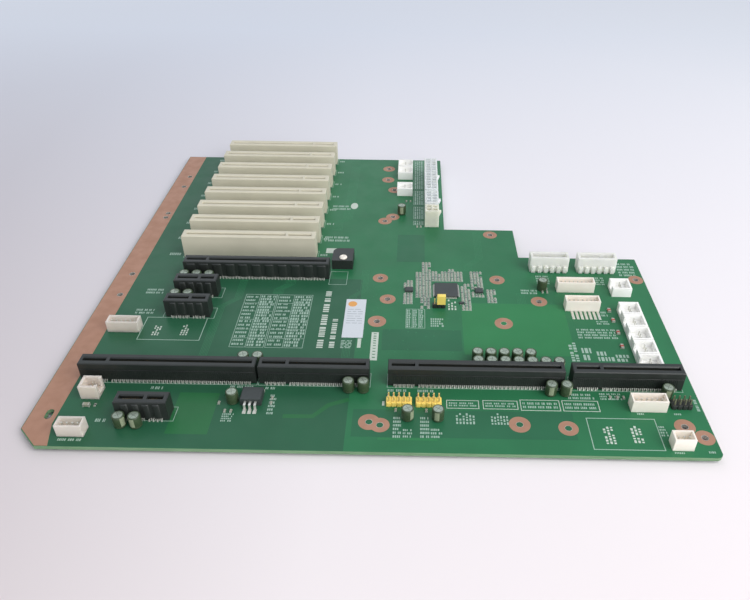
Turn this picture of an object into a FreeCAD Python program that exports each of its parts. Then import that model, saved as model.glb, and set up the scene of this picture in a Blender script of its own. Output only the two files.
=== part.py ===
"""Passive backplane: a green circuit board that carries a row of system-host edge connectors, PCI and
PCI Express card slots, power headers, wafer headers, pin headers and a few soldered parts.

The frame: +X runs along the front edge of the board, +Y away from it to the card-slot end, +Z up.
The origin is under the middle of the board, on the surface that its solder tails stand on.
"""
import FreeCAD
import Part
import Sketcher
import os

doc = FreeCAD.newDocument("backplane")

# Driving dimensions, in millimetres
SIZES = {
    # Board
    "board_thickness": 2.0,
    "right_margin": 6.4,
    "rear_margin": 0.94,
    "tail_length": 1.5,
    "corner_chamfer": 10.5,
    "corner_round": 3.0,
    "tab_width": 204.5,
    "middle_step": 34.6,
    "wing_width": 75.3,
    # Mounting holes: columns from the left edge, rows from the front edge
    "mount_hole_radius": 1.75,
    "strip_column": 9.3,
    "first_column_a": 163.4,
    "first_column_b": 168.7,
    "second_column_inset": 16.1,
    "second_column_step": 23.0,
    "edge_column_inset": 5.0,
    "edge_corner_inset": 12.4,
    "front_row_a": 18.9,
    "second_row_a": 98.0,
    "third_row_a": 142.0,
    "fourth_row_a": 213.5,
    "fifth_row_a": 278.0,
    "last_row_inset": 17.1,
    "front_row_b": 17.0,
    "second_row_b": 119.8,
    "third_row_b": 219.5,
    "fourth_row_b": 261.0,
    "middle_row_inset": 6.4,
    "wing_row_inset": 23.8,
    "corner_row": 12.4,
    "corner_second_row": 19.3,
    "strip_slot_travel": 3.0,
    # Card slots
    "slot_pitch": 20.32,
    "slot_edge_chamfer": 0.4,
    "pci_length": 84.84,
    "pci_width": 8.64,
    "pci_height": 15.49,
    "pci_left": 36.4,
    "pci_row_offset": 23.3,
    "pci_opening_margin": 2.6,
    "pci_opening_width": 2.0,
    "pci_opening_depth": 8.5,
    "pci_lead_in": 0.7,
    "pci_key_place": 66.55,
    "pci_key_width": 1.6,
    "pcie_width": 8.0,
    "pcie_height": 11.25,
    "pcie_left": 43.0,
    "front_slot_row": 21.78,
    "pcie_opening_margin": 1.8,
    "pcie_opening_width": 1.9,
    "pcie_opening_depth": 8.0,
    "pcie_lead_in": 0.6,
    "pcie_key_place": 14.5,
    "pcie_key_width": 1.7,
    "one_lane_length": 25.0,
    "eight_lane_length": 56.0,
    "sixteen_lane_length": 89.0,
    # Host connector row
    "host_left": 15.8,
    "host_row": 48.6,
    "host_gap_ab": 1.4,
    "host_gap_bc": 9.4,
    "host_gap_cd": 4.0,
    # Retention clip behind the end of the sixteen-lane slot
    "clip_length": 13.0,
    "clip_depth": 14.8,
    "clip_height": 6.5,
    "clip_round": 4.0,
    "clip_gap": 0.6,
    "clip_row_offset": 7.5,
    "rivet_head_radius": 2.5,
    "rivet_head_height": 1.2,
    "rivet_shank_width": 2.8,
    "rivet_clearance": 0.1,
    "rivet_place_x": 6.9,
    "rivet_place_y": 3.6,
    # Pins
    "pin_clearance": 0.05,
    "small_pin": 0.64,
    "power_pin": 1.14,
    "small_joint_width": 1.7,
    "power_joint_width": 2.6,
    # Power headers at the right edge of the rear tab
    "power_pitch": 4.2,
    "power_width": 9.6,
    "power_height": 12.8,
    "power_end": 0.6,
    "power_cavity": 3.3,
    "power_cavity_cut": 0.9,
    "power_floor": 2.4,
    "power_pin_rise": 8.6,
    "power_edge_gap": 3.7,
    "power_rear_gap": 23.7,
    "power_gap": 2.9,
    "latch_width": 3.4,
    "latch_reach": 1.6,
    "latch_rise": 3.6,
    "latch_drop": 2.6,
    # Two single-row power headers at the rear of the wing
    "row_pitch": 3.96,
    "row_end": 2.1,
    "row_depth": 7.4,
    "row_height": 10.4,
    "row_wall": 1.4,
    "row_floor": 3.2,
    "row_lug_width": 2.3,
    "row_lug_depth": 1.3,
    "row_lug_height": 4.4,
    "row_pin_rise": 9.0,
    "row_front_gap": 13.5,
    "row_rear_gap": 9.0,
    "row_right_gap": 16.4,
    "row_gap": 5.7,
    # Fan headers
    "fan_length": 11.2,
    "fan_width": 11.4,
    "fan_height": 6.0,
    "fan_wall": 1.2,
    "fan_floor": 2.2,
    "fan_key": 4.6,
    "fan_pin_rise": 5.2,
    "fan_right_gap": 12.6,
    "fan_column_gap": 2.4,
    "fan_gap": 0.45,
    "fan_rear_gap": 13.2,
    "fan_tab_gap": 8.9,
    "fan_tab_rear_gap": 11.7,
    "fan_tab_second_gap": 1.5,
    "fan_tab_first_gap": 16.1,
    "fan_host_left": 20.6,
    "fan_host_gap": 5.0,
    "fan_host_length": 8.6,
    "fan_host_width": 8.9,
    "fan_host_height": 8.0,
    # Wafer headers
    "wafer_pitch": 2.5,
    "wafer_end": 2.45,
    "wafer_width": 6.5,
    "wafer_height": 7.0,
    "wafer_wall": 0.8,
    "wafer_floor": 2.2,
    "wafer_pin_rise": 6.2,
    "front_left_wafer_x": 25.2,
    "front_left_wafer_y": 9.15,
    "left_wafer_x": 23.6,
    "left_wafer_y": 87.4,
    "front_right_wafer_x_inset": 17.8,
    "front_right_wafer_y": 7.15,
    "right_wafer_x_inset": 27.2,
    "right_wafer_y": 31.9,
    "rear_wafer_x_inset": 45.2,
    "rear_wafer_gap": 14.45,
    "middle_wafer_x_inset": 44.5,
    "middle_wafer_gap": 12.5,
    # Pin headers and the jumper cap
    "pin_pitch": 2.54,
    "pin_body_height": 2.54,
    "pin_rise": 6.0,
    "first_pin_header_x": 177.5,
    "pin_header_gap": 1.9,
    "pin_header_y": 31.9,
    "side_pin_header_x_inset": 10.3,
    "side_pin_header_y": 33.2,
    "jumper_header_inset": 2.3,
    "jumper_header_gap": 8.3,
    "jumper_length": 5.0,
    "jumper_width": 2.4,
    "jumper_height": 6.3,
    "jumper_roof": 0.2,
    # Soldered parts
    "chip_side": 14.0,
    "chip_height": 1.4,
    "chip_bevel": 0.3,
    "chip_x": 203.7,
    "chip_y": 129.2,
    "small_chip_length": 4.9,
    "small_chip_width": 3.9,
    "small_chip_height": 1.5,
    "left_small_chip_gap": 12.95,
    "right_small_chip_gap": 10.45,
    "transistor_offset": 8.9,
    "transistor_gap": 4.8,
    "transistor_length": 2.9,
    "transistor_width": 1.6,
    "transistor_height": 1.1,
    "regulator_width": 10.2,
    "regulator_depth": 8.9,
    "regulator_height": 4.4,
    "regulator_x": 105.0,
    "regulator_y": 28.6,
    "regulator_tab": 1.3,
    "regulator_tab_reach": 1.6,
    "lead_pitch": 2.54,
    "lead_width": 1.1,
    "lead_thickness": 0.5,
    "lead_rise": 2.4,
    "lead_reach": 5.0,
    "lead_foot": 2.6,
    "can_radius": 3.15,
    "can_height": 7.0,
    "can_pitch": 7.5,
    "bank_pitch": 7.0,
    "bank_left": 218.2,
    "bank_host_gap": 3.05,
    "bank_row_gap": 0.3,
    "host_can_gap": 0.7,
    "slot_can_gap": 1.5,
    "slot_can_inset": 1.5,
    "front_slot_can_inset": 3.0,
    "host_a_can_inset": 9.2,
    "host_a_can_gap": 3.65,
    "host_b_can_inset": 10.3,
    "host_c_can_inset": 7.1,
    "regulator_can_gap": 1.15,
    "regulator_can_offset": 2.6,
    "header_can_gap": 4.41,
    "header_can_offset": 4.4,
    "corner_can_gap": 1.7,
    "corner_can_inset": 15.8,
    "wing_can_gap": 5.5,
    "tab_can_gap": 23.95,
    "tab_can_offset": 4.0,
}

sheet = doc.addObject("Spreadsheet::Sheet", "Sizes")
for row, (alias, number) in enumerate(SIZES.items(), start=1):
    sheet.set(f"A{row}", alias)
    sheet.set(f"B{row}", str(number))
    sheet.setAlias(f"B{row}", alias)
doc.recompute()


class Size:
    """A length: its present value, and the expression that binds an object to the sheet."""

    def __init__(self, value, text):
        self.value = value
        self.text = text

    def __add__(self, other):
        other = as_size(other)
        return Size(self.value + other.value, f"({self.text} + {other.text})")

    def __sub__(self, other):
        other = as_size(other)
        return Size(self.value - other.value, f"({self.text} - {other.text})")

    def __mul__(self, other):
        other = as_size(other)
        return Size(self.value * other.value, f"({self.text} * {other.text})")

    def __truediv__(self, other):
        other = as_size(other)
        return Size(self.value / other.value, f"({self.text} / {other.text})")

    def __neg__(self):
        return Size(-self.value, f"(0 - {self.text})")

    __radd__ = __add__


def as_size(number):
    return number if isinstance(number, Size) else Size(float(number), str(number))


def size(alias):
    return Size(sheet.get(alias), f"Sizes.{alias}")


# What the board's width follows: the host connectors, end to end along the row
HOST_ENDS = [size("host_left")]
for lanes, space in (("sixteen", "host_gap_ab"), ("eight", "host_gap_bc"),
                     ("sixteen", "host_gap_cd"), ("eight", "right_margin")):
    HOST_ENDS.append(HOST_ENDS[-1] + size(f"{lanes}_lane_length") + size(space))
BOARD_WIDTH = HOST_ENDS[-1]

# What the board's depth follows: one slot pitch from row to row
PCI_COUNT = 8
X16_ROW = size("front_slot_row") + size("slot_pitch") * 6
FIRST_PCI_ROW = X16_ROW + size("pci_row_offset")
LAST_PCI_ROW = FIRST_PCI_ROW + size("slot_pitch") * (PCI_COUNT - 1)
BOARD_DEPTH = LAST_PCI_ROW + size("pci_width") / 2 + size("rear_margin")

# What the wing's depth follows: the fan column behind the host row, then the row headers
FAN_COUNT = 5
HOST_FRONT = size("host_row") - size("pcie_width") / 2
HOST_BACK = size("host_row") + size("pcie_width") / 2
FAN_PITCH = size("fan_length") + size("fan_gap")
FAN_START = HOST_BACK + size("fan_column_gap")
REAR_FAN_START = FAN_START + FAN_PITCH * (FAN_COUNT - 1) + size("fan_length") + size("fan_rear_gap")
ROW_HEADER_FRONT = REAR_FAN_START + size("fan_length") + size("row_front_gap")
ROW_HEADER_BACK = ROW_HEADER_FRONT + size("row_lug_depth") + size("row_depth")
WING_DEPTH = ROW_HEADER_BACK + size("row_rear_gap")
MIDDLE_DEPTH = WING_DEPTH + size("middle_step")

# Where the board's edges and top face lie in the part's frame
LEFT = -BOARD_WIDTH / 2
FRONT = -BOARD_DEPTH / 2
TOP = size("tail_length") + size("board_thickness")
RIGHT = LEFT + BOARD_WIDTH
REAR = FRONT + BOARD_DEPTH
POWER_LEFT = LEFT + size("tab_width") - size("power_edge_gap") - size("power_width")

nodes = []
solder_joints = []


def bind(item, **values):
    for name, value in values.items():
        item.setExpression(name, as_size(value).text)


def place(item, x, y, z):
    for axis, value in zip("xyz", (x, y, z)):
        item.setExpression(f"Placement.Base.{axis}", as_size(value).text)


def name_node(item, label):
    item.Label = label
    nodes.append(item)
    return item


def box(name, sizes, corner):
    item = doc.addObject("Part::Box", name)
    bind(item, **dict(zip(("Length", "Width", "Height"), sizes)))
    place(item, *corner)
    return item


def small_round(name, radius, height):
    """A small upright round piece: it comes in numbers, so it is a prism of a few sides."""
    item = doc.addObject("Part::Prism", name)
    item.Polygon = 10
    bind(item, Circumradius=radius, Height=height)
    return item


def compound(name, items):
    group = doc.addObject("Part::Compound", name)
    group.Links = items
    return group


def rectangle(x, y, length, width):
    x, y = as_size(x), as_size(y)
    return [(x, y), (x + length, y), (x + length, y + width), (x, y + width)]


def origin_plane(body, role):
    return next(item for item in body.Origin.OriginFeatures if item.Role == role)


def hold_point(geometry, point, at):
    """Constraints that hold one point of a sketch at sheet-driven distances from its origin."""
    held = []
    for kind, axis, value in (("DistanceX", -2, as_size(at[0])), ("DistanceY", -1, as_size(at[1]))):
        if abs(value.value) < 1e-9:
            held.append((Sketcher.Constraint("PointOnObject", geometry, point, axis), None))
        else:
            held.append((Sketcher.Constraint(kind, -1, 1, geometry, point, value.value), value.text))
    return held


def constrain(sketch, held):
    """Add all of a sketch's constraints at once, then bind those that have an expression."""
    sketch.addConstraint([constraint for constraint, text in held])
    for index, (constraint, text) in enumerate(held):
        if text:
            sketch.setExpression(f"Constraints[{index}]", text)


def new_sketch(body, name, role, lift):
    sketch = body.newObject("Sketcher::SketchObject", name)
    sketch.AttachmentSupport = [(origin_plane(body, role), "")]
    sketch.MapMode = "FlatFace"
    sketch.setExpression("AttachmentOffset.Base.z", as_size(lift).text)
    return sketch


def draw_loops(body, name, loops, lift=0, role="XY_Plane"):
    """A sketch of closed straight-sided loops, every corner bound to the sheet."""
    sketch = new_sketch(body, name, role, lift)
    lines, held = [], []
    for loop in loops:
        corners = [(as_size(x), as_size(y)) for x, y in loop]
        points = [FreeCAD.Vector(x.value, y.value, 0) for x, y in corners]
        first, count = len(lines), len(points)
        for i in range(count):
            following = (i + 1) % count
            lines.append(Part.LineSegment(points[i], points[following]))
            held.append((Sketcher.Constraint("Coincident", first + i, 2, first + following, 1), None))
            held += hold_point(first + i, 1, corners[i])
    sketch.addGeometry(lines, False)
    constrain(sketch, held)
    return sketch


def draw_circles(body, name, centres, radius, lift=0):
    """A sketch of equal circles, every centre and the radius bound to the sheet."""
    sketch = new_sketch(body, name, "XY_Plane", lift)
    upright = FreeCAD.Vector(0, 0, 1)
    circles, held = [], []
    for number, (x, y) in enumerate(centres):
        circles.append(Part.Circle(FreeCAD.Vector(x.value, y.value, 0), upright, radius.value))
        held += hold_point(number, 3, (x, y))
        held.append((Sketcher.Constraint("Radius", number, radius.value), radius.text))
    sketch.addGeometry(circles, False)
    constrain(sketch, held)
    return sketch


def new_body(name):
    return doc.addObject("PartDesign::Body", name)


def pad(body, sketch, height):
    feature = body.newObject("PartDesign::Pad", f"{sketch.Name}_pad")
    feature.Profile = sketch
    bind(feature, Length=height)
    sketch.Visibility = False
    return feature


def pocket(body, sketch, depth, upward=False):
    """Cut down from a sketch above the solid, or upward from a sketch under it."""
    feature = body.newObject("PartDesign::Pocket", f"{sketch.Name}_pocket")
    feature.Profile = sketch
    feature.Reversed = upward
    bind(feature, Length=depth)
    sketch.Visibility = False
    return feature


def bevel(body, kind, name, test, amount):
    """Chamfer or round those edges of the body's present shape whose box passes the test."""
    body.recompute(True)
    base = body.Tip
    edges = [f"Edge{number}" for number, edge in enumerate(base.Shape.Edges, start=1) if test(edge.BoundBox)]
    feature = body.newObject(f"PartDesign::{kind}", name)
    feature.Base = (base, edges)
    bind(feature, **{"Size" if kind == "Chamfer" else "Radius": amount})
    return feature


def pin(name, width, floor, rise):
    """A square pin on the origin's axis, from a housing's floor up; its copies stand in the headers."""
    half = width / 2
    return box(name, (width, width, rise - floor), (-half, -half, TOP + floor))


def solder_joint(name, width):
    """The pointed joint that a soldered pin leaves under the board, on the origin's axis."""
    half, tall = width / 2, size("tail_length")
    joint = doc.addObject("Part::Wedge", name)
    bind(joint, Xmin=-half, Xmax=half, Zmin=-half, Zmax=half, Ymin=0, Ymax=tall)
    bind(joint, X2min=0, X2max=0, Z2min=0, Z2max=0)
    joint.Placement.Rotation = FreeCAD.Rotation(FreeCAD.Vector(1, 0, 0), -90)
    place(joint, 0, 0, tall)
    return joint


def copies(name, model, places):
    """Copies of a piece that is modelled on the origin's axis, one at each place on the board."""
    links = []
    for number, (x, y) in enumerate(places, start=1):
        link = doc.addObject("App::Link", f"{name}_{number}")
        link.LinkedObject = model
        link.LinkTransform = True
        bind(link, **{"Placement.Base.x": x, "Placement.Base.y": y})
        links.append(link)
    return links


def solder_in(name, model, joint, places):
    """Pins at these places, and a joint under the board for each of them."""
    solder_joints.extend(copies(f"{name}_joint", joint, places))
    return copies(f"{name}_pin", model, places)


def pin_openings(width, places):
    """Loops of the sockets that take pins of this width."""
    clearance = size("pin_clearance")
    side = width + clearance * 2
    return [rectangle(x - side / 2, y - side / 2, side, side) for x, y in places]


def build_board():
    """The bare board: a stepped outline with one cut corner, drilled for its fastenings."""
    width, depth = BOARD_WIDTH, BOARD_DEPTH
    cut, tab = size("corner_chamfer"), size("tab_width")
    step = width - size("wing_width")
    outline = [
        (cut, 0), (width, 0), (width, WING_DEPTH), (step, WING_DEPTH), (step, MIDDLE_DEPTH),
        (tab, MIDDLE_DEPTH), (tab, depth), (0, depth), (0, cut),
    ]
    body = new_body("board_blank")
    pad(body, draw_loops(body, "board_outline", [outline]), size("board_thickness"))
    right = width.value
    bevel(body, "Fillet", "board_corner",
          lambda b: b.ZLength > 1 and b.XMin > right - 1e-6 and b.YMax < 1e-6, size("corner_round"))

    strip, first_a, first_b = size("strip_column"), size("first_column_a"), size("first_column_b")
    second_a = step - size("second_column_inset")
    second_b = second_a + size("second_column_step")
    edge = width - size("edge_column_inset")
    rows_a = [size(f"{order}_row_a") for order in ("front", "second", "third", "fourth", "fifth")]
    rows_b = [size(f"{order}_row_b") for order in ("front", "second", "third", "fourth")]
    centres = [(strip, row) for row in rows_b[1:] + rows_a[2:] + rows_a[:1]]
    centres += [(first_a, row) for row in rows_a + [depth - size("last_row_inset")]]
    centres += [(first_b, row) for row in rows_b]
    centres += [(second_a, row) for row in rows_a[:3] + [MIDDLE_DEPTH - size("middle_row_inset")]]
    centres += [(second_b, row) for row in rows_b[:2]]
    centres += [
        (edge, WING_DEPTH - size("wing_row_inset")), (edge, size("corner_row")),
        (width - size("edge_corner_inset"), size("corner_second_row")),
    ]
    radius, top = size("mount_hole_radius"), size("board_thickness")
    pocket(body, draw_circles(body, "mount_holes", centres, radius, top), top)
    slot_end = [(strip, rows_a[0] + size("strip_slot_travel"))]
    pocket(body, draw_circles(body, "strip_slot", slot_end, radius, top), top)
    rivet = rivet_opening(clip_left() - LEFT, clip_front() - FRONT)
    pocket(body, draw_loops(body, "rivet_hole", [rivet], top), top)
    place(body, LEFT, FRONT, size("tail_length"))
    name_node(body, "board")


def card_slot(label, kind, length, x, y):
    """An edge connector: a bar with a keyed opening whose rim leads the card in."""
    width, height = size(f"{kind}_width"), size(f"{kind}_height")
    margin, opening = size(f"{kind}_opening_margin"), size(f"{kind}_opening_width")
    key, key_width = size(f"{kind}_key_place"), size(f"{kind}_key_width")
    body = new_body(f"{label}_body")
    pad(body, draw_loops(body, f"{label}_plan", [rectangle(0, 0, length, width)]), height)
    high, deep = height.value, width.value
    bevel(body, "Chamfer", f"{label}_rim", lambda b: b.ZMin > high - 1e-6, size("slot_edge_chamfer"))

    low_side = (width - opening) / 2
    before_key = rectangle(margin, low_side, key - key_width / 2 - margin, opening)
    after_key = rectangle(key + key_width / 2, low_side, length - margin - key - key_width / 2, opening)
    slits = draw_loops(body, f"{label}_opening", [before_key, after_key], height)
    pocket(body, slits, size(f"{kind}_opening_depth"))
    near, away = low_side.value - 1e-6, deep - low_side.value + 1e-6
    bevel(body, "Chamfer", f"{label}_lead_in",
          lambda b: b.ZMin > high - 1e-6 and b.YMin > near and b.YMax < away and b.XLength > 1,
          size(f"{kind}_lead_in"))
    place(body, LEFT + x, FRONT + y - width / 2, TOP)
    name_node(body, label)


def clip_left():
    return LEFT + size("pcie_left") + size("sixteen_lane_length") + size("clip_gap")


def clip_front():
    return FRONT + X16_ROW + size("clip_row_offset")


def rivet_opening(x, y):
    """The square opening for the rivet's shank, with the clip's corner at x and y."""
    side = size("rivet_shank_width") + size("rivet_clearance") * 2
    left, front = size("rivet_place_x") - side / 2, size("rivet_place_y") - side / 2
    return rectangle(left + x, front + y, side, side)


def retention_clip():
    """A moulded block at the end of the long slot, with one round corner, held by a push rivet."""
    length, depth = size("clip_length"), size("clip_depth")
    body = new_body("clip_body")
    pad(body, draw_loops(body, "clip_plan", [rectangle(0, 0, length, depth)]), size("clip_height"))
    back = depth.value - 1e-6
    bevel(body, "Fillet", "clip_corner",
          lambda b: b.ZLength > 1 and b.XMax < 1e-6 and b.YMin > back, size("clip_round"))
    hole = draw_loops(body, "clip_hole", [rivet_opening(0, 0)], size("clip_height"))
    pocket(body, hole, size("clip_height"))
    place(body, clip_left(), clip_front(), TOP)
    name_node(body, "retention_clip")

    shank_width = size("rivet_shank_width")
    x = clip_left() + size("rivet_place_x")
    y = clip_front() + size("rivet_place_y")
    corner = (x - shank_width / 2, y - shank_width / 2, 0)
    shank = box("rivet_shank", (shank_width, shank_width, TOP + size("clip_height")), corner)
    head = small_round("rivet_head", size("rivet_head_radius"), size("rivet_head_height"))
    place(head, x, y, TOP + size("clip_height"))
    rivet = doc.addObject("Part::Fuse", "rivet")
    rivet.Base, rivet.Tool = head, shank
    name_node(rivet, "clip_rivet")


def power_length(columns):
    return size("power_pitch") * columns + size("power_end") * 2


def power_header(label, columns, y, pin_model, joint):
    """A two-row power header: keyed cells, half of them with cut corners, and a latch ramp outside."""
    pitch, width, height = size("power_pitch"), size("power_width"), size("power_height")
    length, cell, cut = power_length(columns), size("power_cavity"), size("power_cavity_cut")
    body = new_body(f"{label}_body")
    pad(body, draw_loops(body, f"{label}_plan", [rectangle(0, 0, width, length)]), height)
    step = height - size("latch_drop")
    ramp = [(width, step - size("latch_rise")), (width + size("latch_reach"), step), (width, step)]
    lift = -length / 2 - size("latch_width") / 2
    latch = draw_loops(body, f"{label}_latch", [ramp], role="XZ_Plane", lift=lift)
    pad(body, latch, size("latch_width"))

    # Square cells and cells with cut corners change places from one column to the next
    cells, half = [], cell / 2
    for column in (0, 1):
        for side in (0, 1):
            x, at = width / 2 + pitch * (side - 0.5), size("power_end") + pitch * (column + 0.5)
            left, right, near, far = x - half, x + half, at - half, at + half
            if (column + side) % 2:
                cells.append([(left, near), (right, near), (right, far), (left, far)])
            else:
                cells.append([(left + cut, near), (right - cut, near), (right, near + cut),
                              (right, far), (left, far), (left, near + cut)])
    plan = draw_loops(body, f"{label}_cells", cells, height)
    first_cells = pocket(body, plan, height - size("power_floor"))
    if columns > 2:
        row = body.newObject("PartDesign::LinearPattern", f"{label}_cell_row")
        row.Originals = [first_cells]
        row.Direction = (plan, ["V_Axis"])
        row.Mode = "Spacing"
        bind(row, Offset=pitch * 2)
        row.Occurrences = columns // 2
        body.Tip = row
    place(body, POWER_LEFT, y, TOP)
    name_node(body, f"{label}_header")

    places = [(POWER_LEFT + width / 2 + pitch * side, y + size("power_end") + pitch * (column + 0.5))
              for column in range(columns) for side in (-0.5, 0.5)]
    pins = solder_in(label, pin_model, joint, places)
    name_node(compound(f"{label}_pin_group", pins), f"{label}_pins")


ROW_PINS = 6
ROW_LENGTH = size("row_pitch") * (ROW_PINS - 1) + size("row_end") * 2


def row_header(label, x, y):
    """A single-row power header: an open box for the plug, with one lug in front of each pin."""
    length, pitch, end = ROW_LENGTH, size("row_pitch"), size("row_end")
    depth, height = size("row_depth"), size("row_height")
    wall, lug, lug_width = size("row_wall"), size("row_lug_depth"), size("row_lug_width")
    body = new_body(f"{label}_body")
    pad(body, draw_loops(body, f"{label}_plan", [rectangle(0, lug, length, depth)]), height)
    lugs = [rectangle(end + pitch * i - lug_width / 2, 0, lug_width, lug * 2) for i in range(ROW_PINS)]
    pad(body, draw_loops(body, f"{label}_lugs", lugs), size("row_lug_height"))
    inside = rectangle(wall, lug + wall, length - wall * 2, depth - wall * 2)
    pocket(body, draw_loops(body, f"{label}_inside", [inside], height), height - size("row_floor"))
    place(body, x, y, TOP)
    name_node(body, label)
    return [(x + end + pitch * i, y + lug + depth / 2) for i in range(ROW_PINS)]


def fan_header(label, x, y, width, length, height, key_side):
    """A shrouded fan header: an open box with its corner at x and y, slotted in one side for the key."""
    wall, key, depth = size("fan_wall"), size("fan_key"), height - size("fan_floor")
    body = new_body(f"{label}_body")
    pad(body, draw_loops(body, f"{label}_plan", [rectangle(0, 0, width, length)]), height)
    inside = rectangle(wall, wall, width - wall * 2, length - wall * 2)
    pocket(body, draw_loops(body, f"{label}_inside", [inside], height), depth)
    slot = rectangle(0 if key_side == "left" else width - wall, length / 2 - key / 2, wall, key)
    pocket(body, draw_loops(body, f"{label}_key", [slot], height), depth)
    place(body, x, y, TOP)
    name_node(body, label)
    return [(x + width / 2, y + length / 2 + size("pin_pitch") * i) for i in (-1, 0, 1)]


def wafer_length(count):
    return size("wafer_pitch") * (count - 1) + size("wafer_end") * 2


def wafer_header(label, count, x, y):
    """A shrouded wafer header: an open box centred on x and y."""
    pitch, end, width = size("wafer_pitch"), size("wafer_end"), size("wafer_width")
    height, wall, floor = size("wafer_height"), size("wafer_wall"), size("wafer_floor")
    length = wafer_length(count)
    left, front = x - length / 2, y - width / 2
    body = new_body(f"{label}_body")
    pad(body, draw_loops(body, f"{label}_plan", [rectangle(0, 0, length, width)]), height)
    inside = rectangle(wall, wall, length - wall * 2, width - wall * 2)
    pocket(body, draw_loops(body, f"{label}_inside", [inside], height), height - floor)
    place(body, left, front, TOP)
    name_node(body, label)
    return [(left + end + pitch * i, y) for i in range(count)]


def pin_header(label, columns, rows, x, y):
    """A pin header's bar, centred on x and y; the places of its pins are returned."""
    pitch, height = size("pin_pitch"), size("pin_body_height")
    length, width = pitch * columns, pitch * rows
    left, front = x - length / 2, y - width / 2
    name_node(box(f"{label}_bar", (length, width, height), (left, front, TOP)), label)
    return [(left + pitch * (i + 0.5), front + pitch * (j + 0.5))
            for i in range(columns) for j in range(rows)]


def jumper_cap(x, y):
    """A jumper cap that rests on two of the three jumper pins."""
    length, width, height = size("jumper_length"), size("jumper_width"), size("jumper_height")
    body = new_body("jumper_body")
    pad(body, draw_loops(body, "jumper_plan", [rectangle(0, 0, length, width)]), height)
    top = height.value
    bevel(body, "Chamfer", "jumper_rim", lambda b: b.ZMin > top - 1e-6, size("slot_edge_chamfer"))
    half = size("pin_pitch") / 2
    places = [(length / 2 - half, width / 2), (length / 2 + half, width / 2)]
    sockets = draw_loops(body, "jumper_sockets", pin_openings(size("small_pin"), places))
    pocket(body, sockets, size("pin_rise") - size("pin_body_height") + size("jumper_roof"), upward=True)
    place(body, x - length / 2, y - width / 2, TOP + size("pin_body_height"))
    name_node(body, "jumper_cap")


def chip(name, length, width, height, x, y):
    """A flat moulded package centred on x and y, with a bevelled top."""
    body = new_body(f"{name}_body")
    pad(body, draw_loops(body, f"{name}_plan", [rectangle(0, 0, length, width)]), height)
    high = height.value
    bevel(body, "Chamfer", f"{name}_rim", lambda b: b.ZMin > high - 1e-6, size("chip_bevel"))
    place(body, LEFT + x - length / 2, FRONT + y - width / 2, TOP)
    return body


def regulator():
    """A surface-mounted regulator: moulded body, heat tab under its back and three formed leads."""
    width, depth, height = size("regulator_width"), size("regulator_depth"), size("regulator_height")
    left = LEFT + size("regulator_x") - width / 2
    front = FRONT + size("regulator_y")
    tab, reach = size("regulator_tab"), size("regulator_tab_reach")
    name_node(chip("regulator", width, depth, height, size("regulator_x"), size("regulator_y") + depth / 2),
              "regulator_body")
    heat_tab = box("regulator_heat_tab", (width, reach, tab), (left, front + depth, TOP))
    thick, rise = size("lead_thickness"), size("lead_rise")
    run, foot = size("lead_reach"), size("lead_foot")
    leads = []
    for i in (-1, 0, 1):
        body = new_body(f"regulator_lead_{i + 2}")
        path = [(0, 0), (foot, 0), (foot, rise), (run, rise), (run, rise + thick),
                (foot - thick, rise + thick), (foot - thick, thick), (0, thick)]
        pad(body, draw_loops(body, f"lead_profile_{i + 2}", [path], role="YZ_Plane"), size("lead_width"))
        x = left + width / 2 + size("lead_pitch") * i - size("lead_width") / 2
        place(body, x, front - run, TOP)
        leads.append(body)
    name_node(compound("regulator_metal", leads + [heat_tab]), "regulator_leads")


def can_row(x, y, count, pitch):
    return [(x + pitch * i, y) for i in range(count)]


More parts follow.
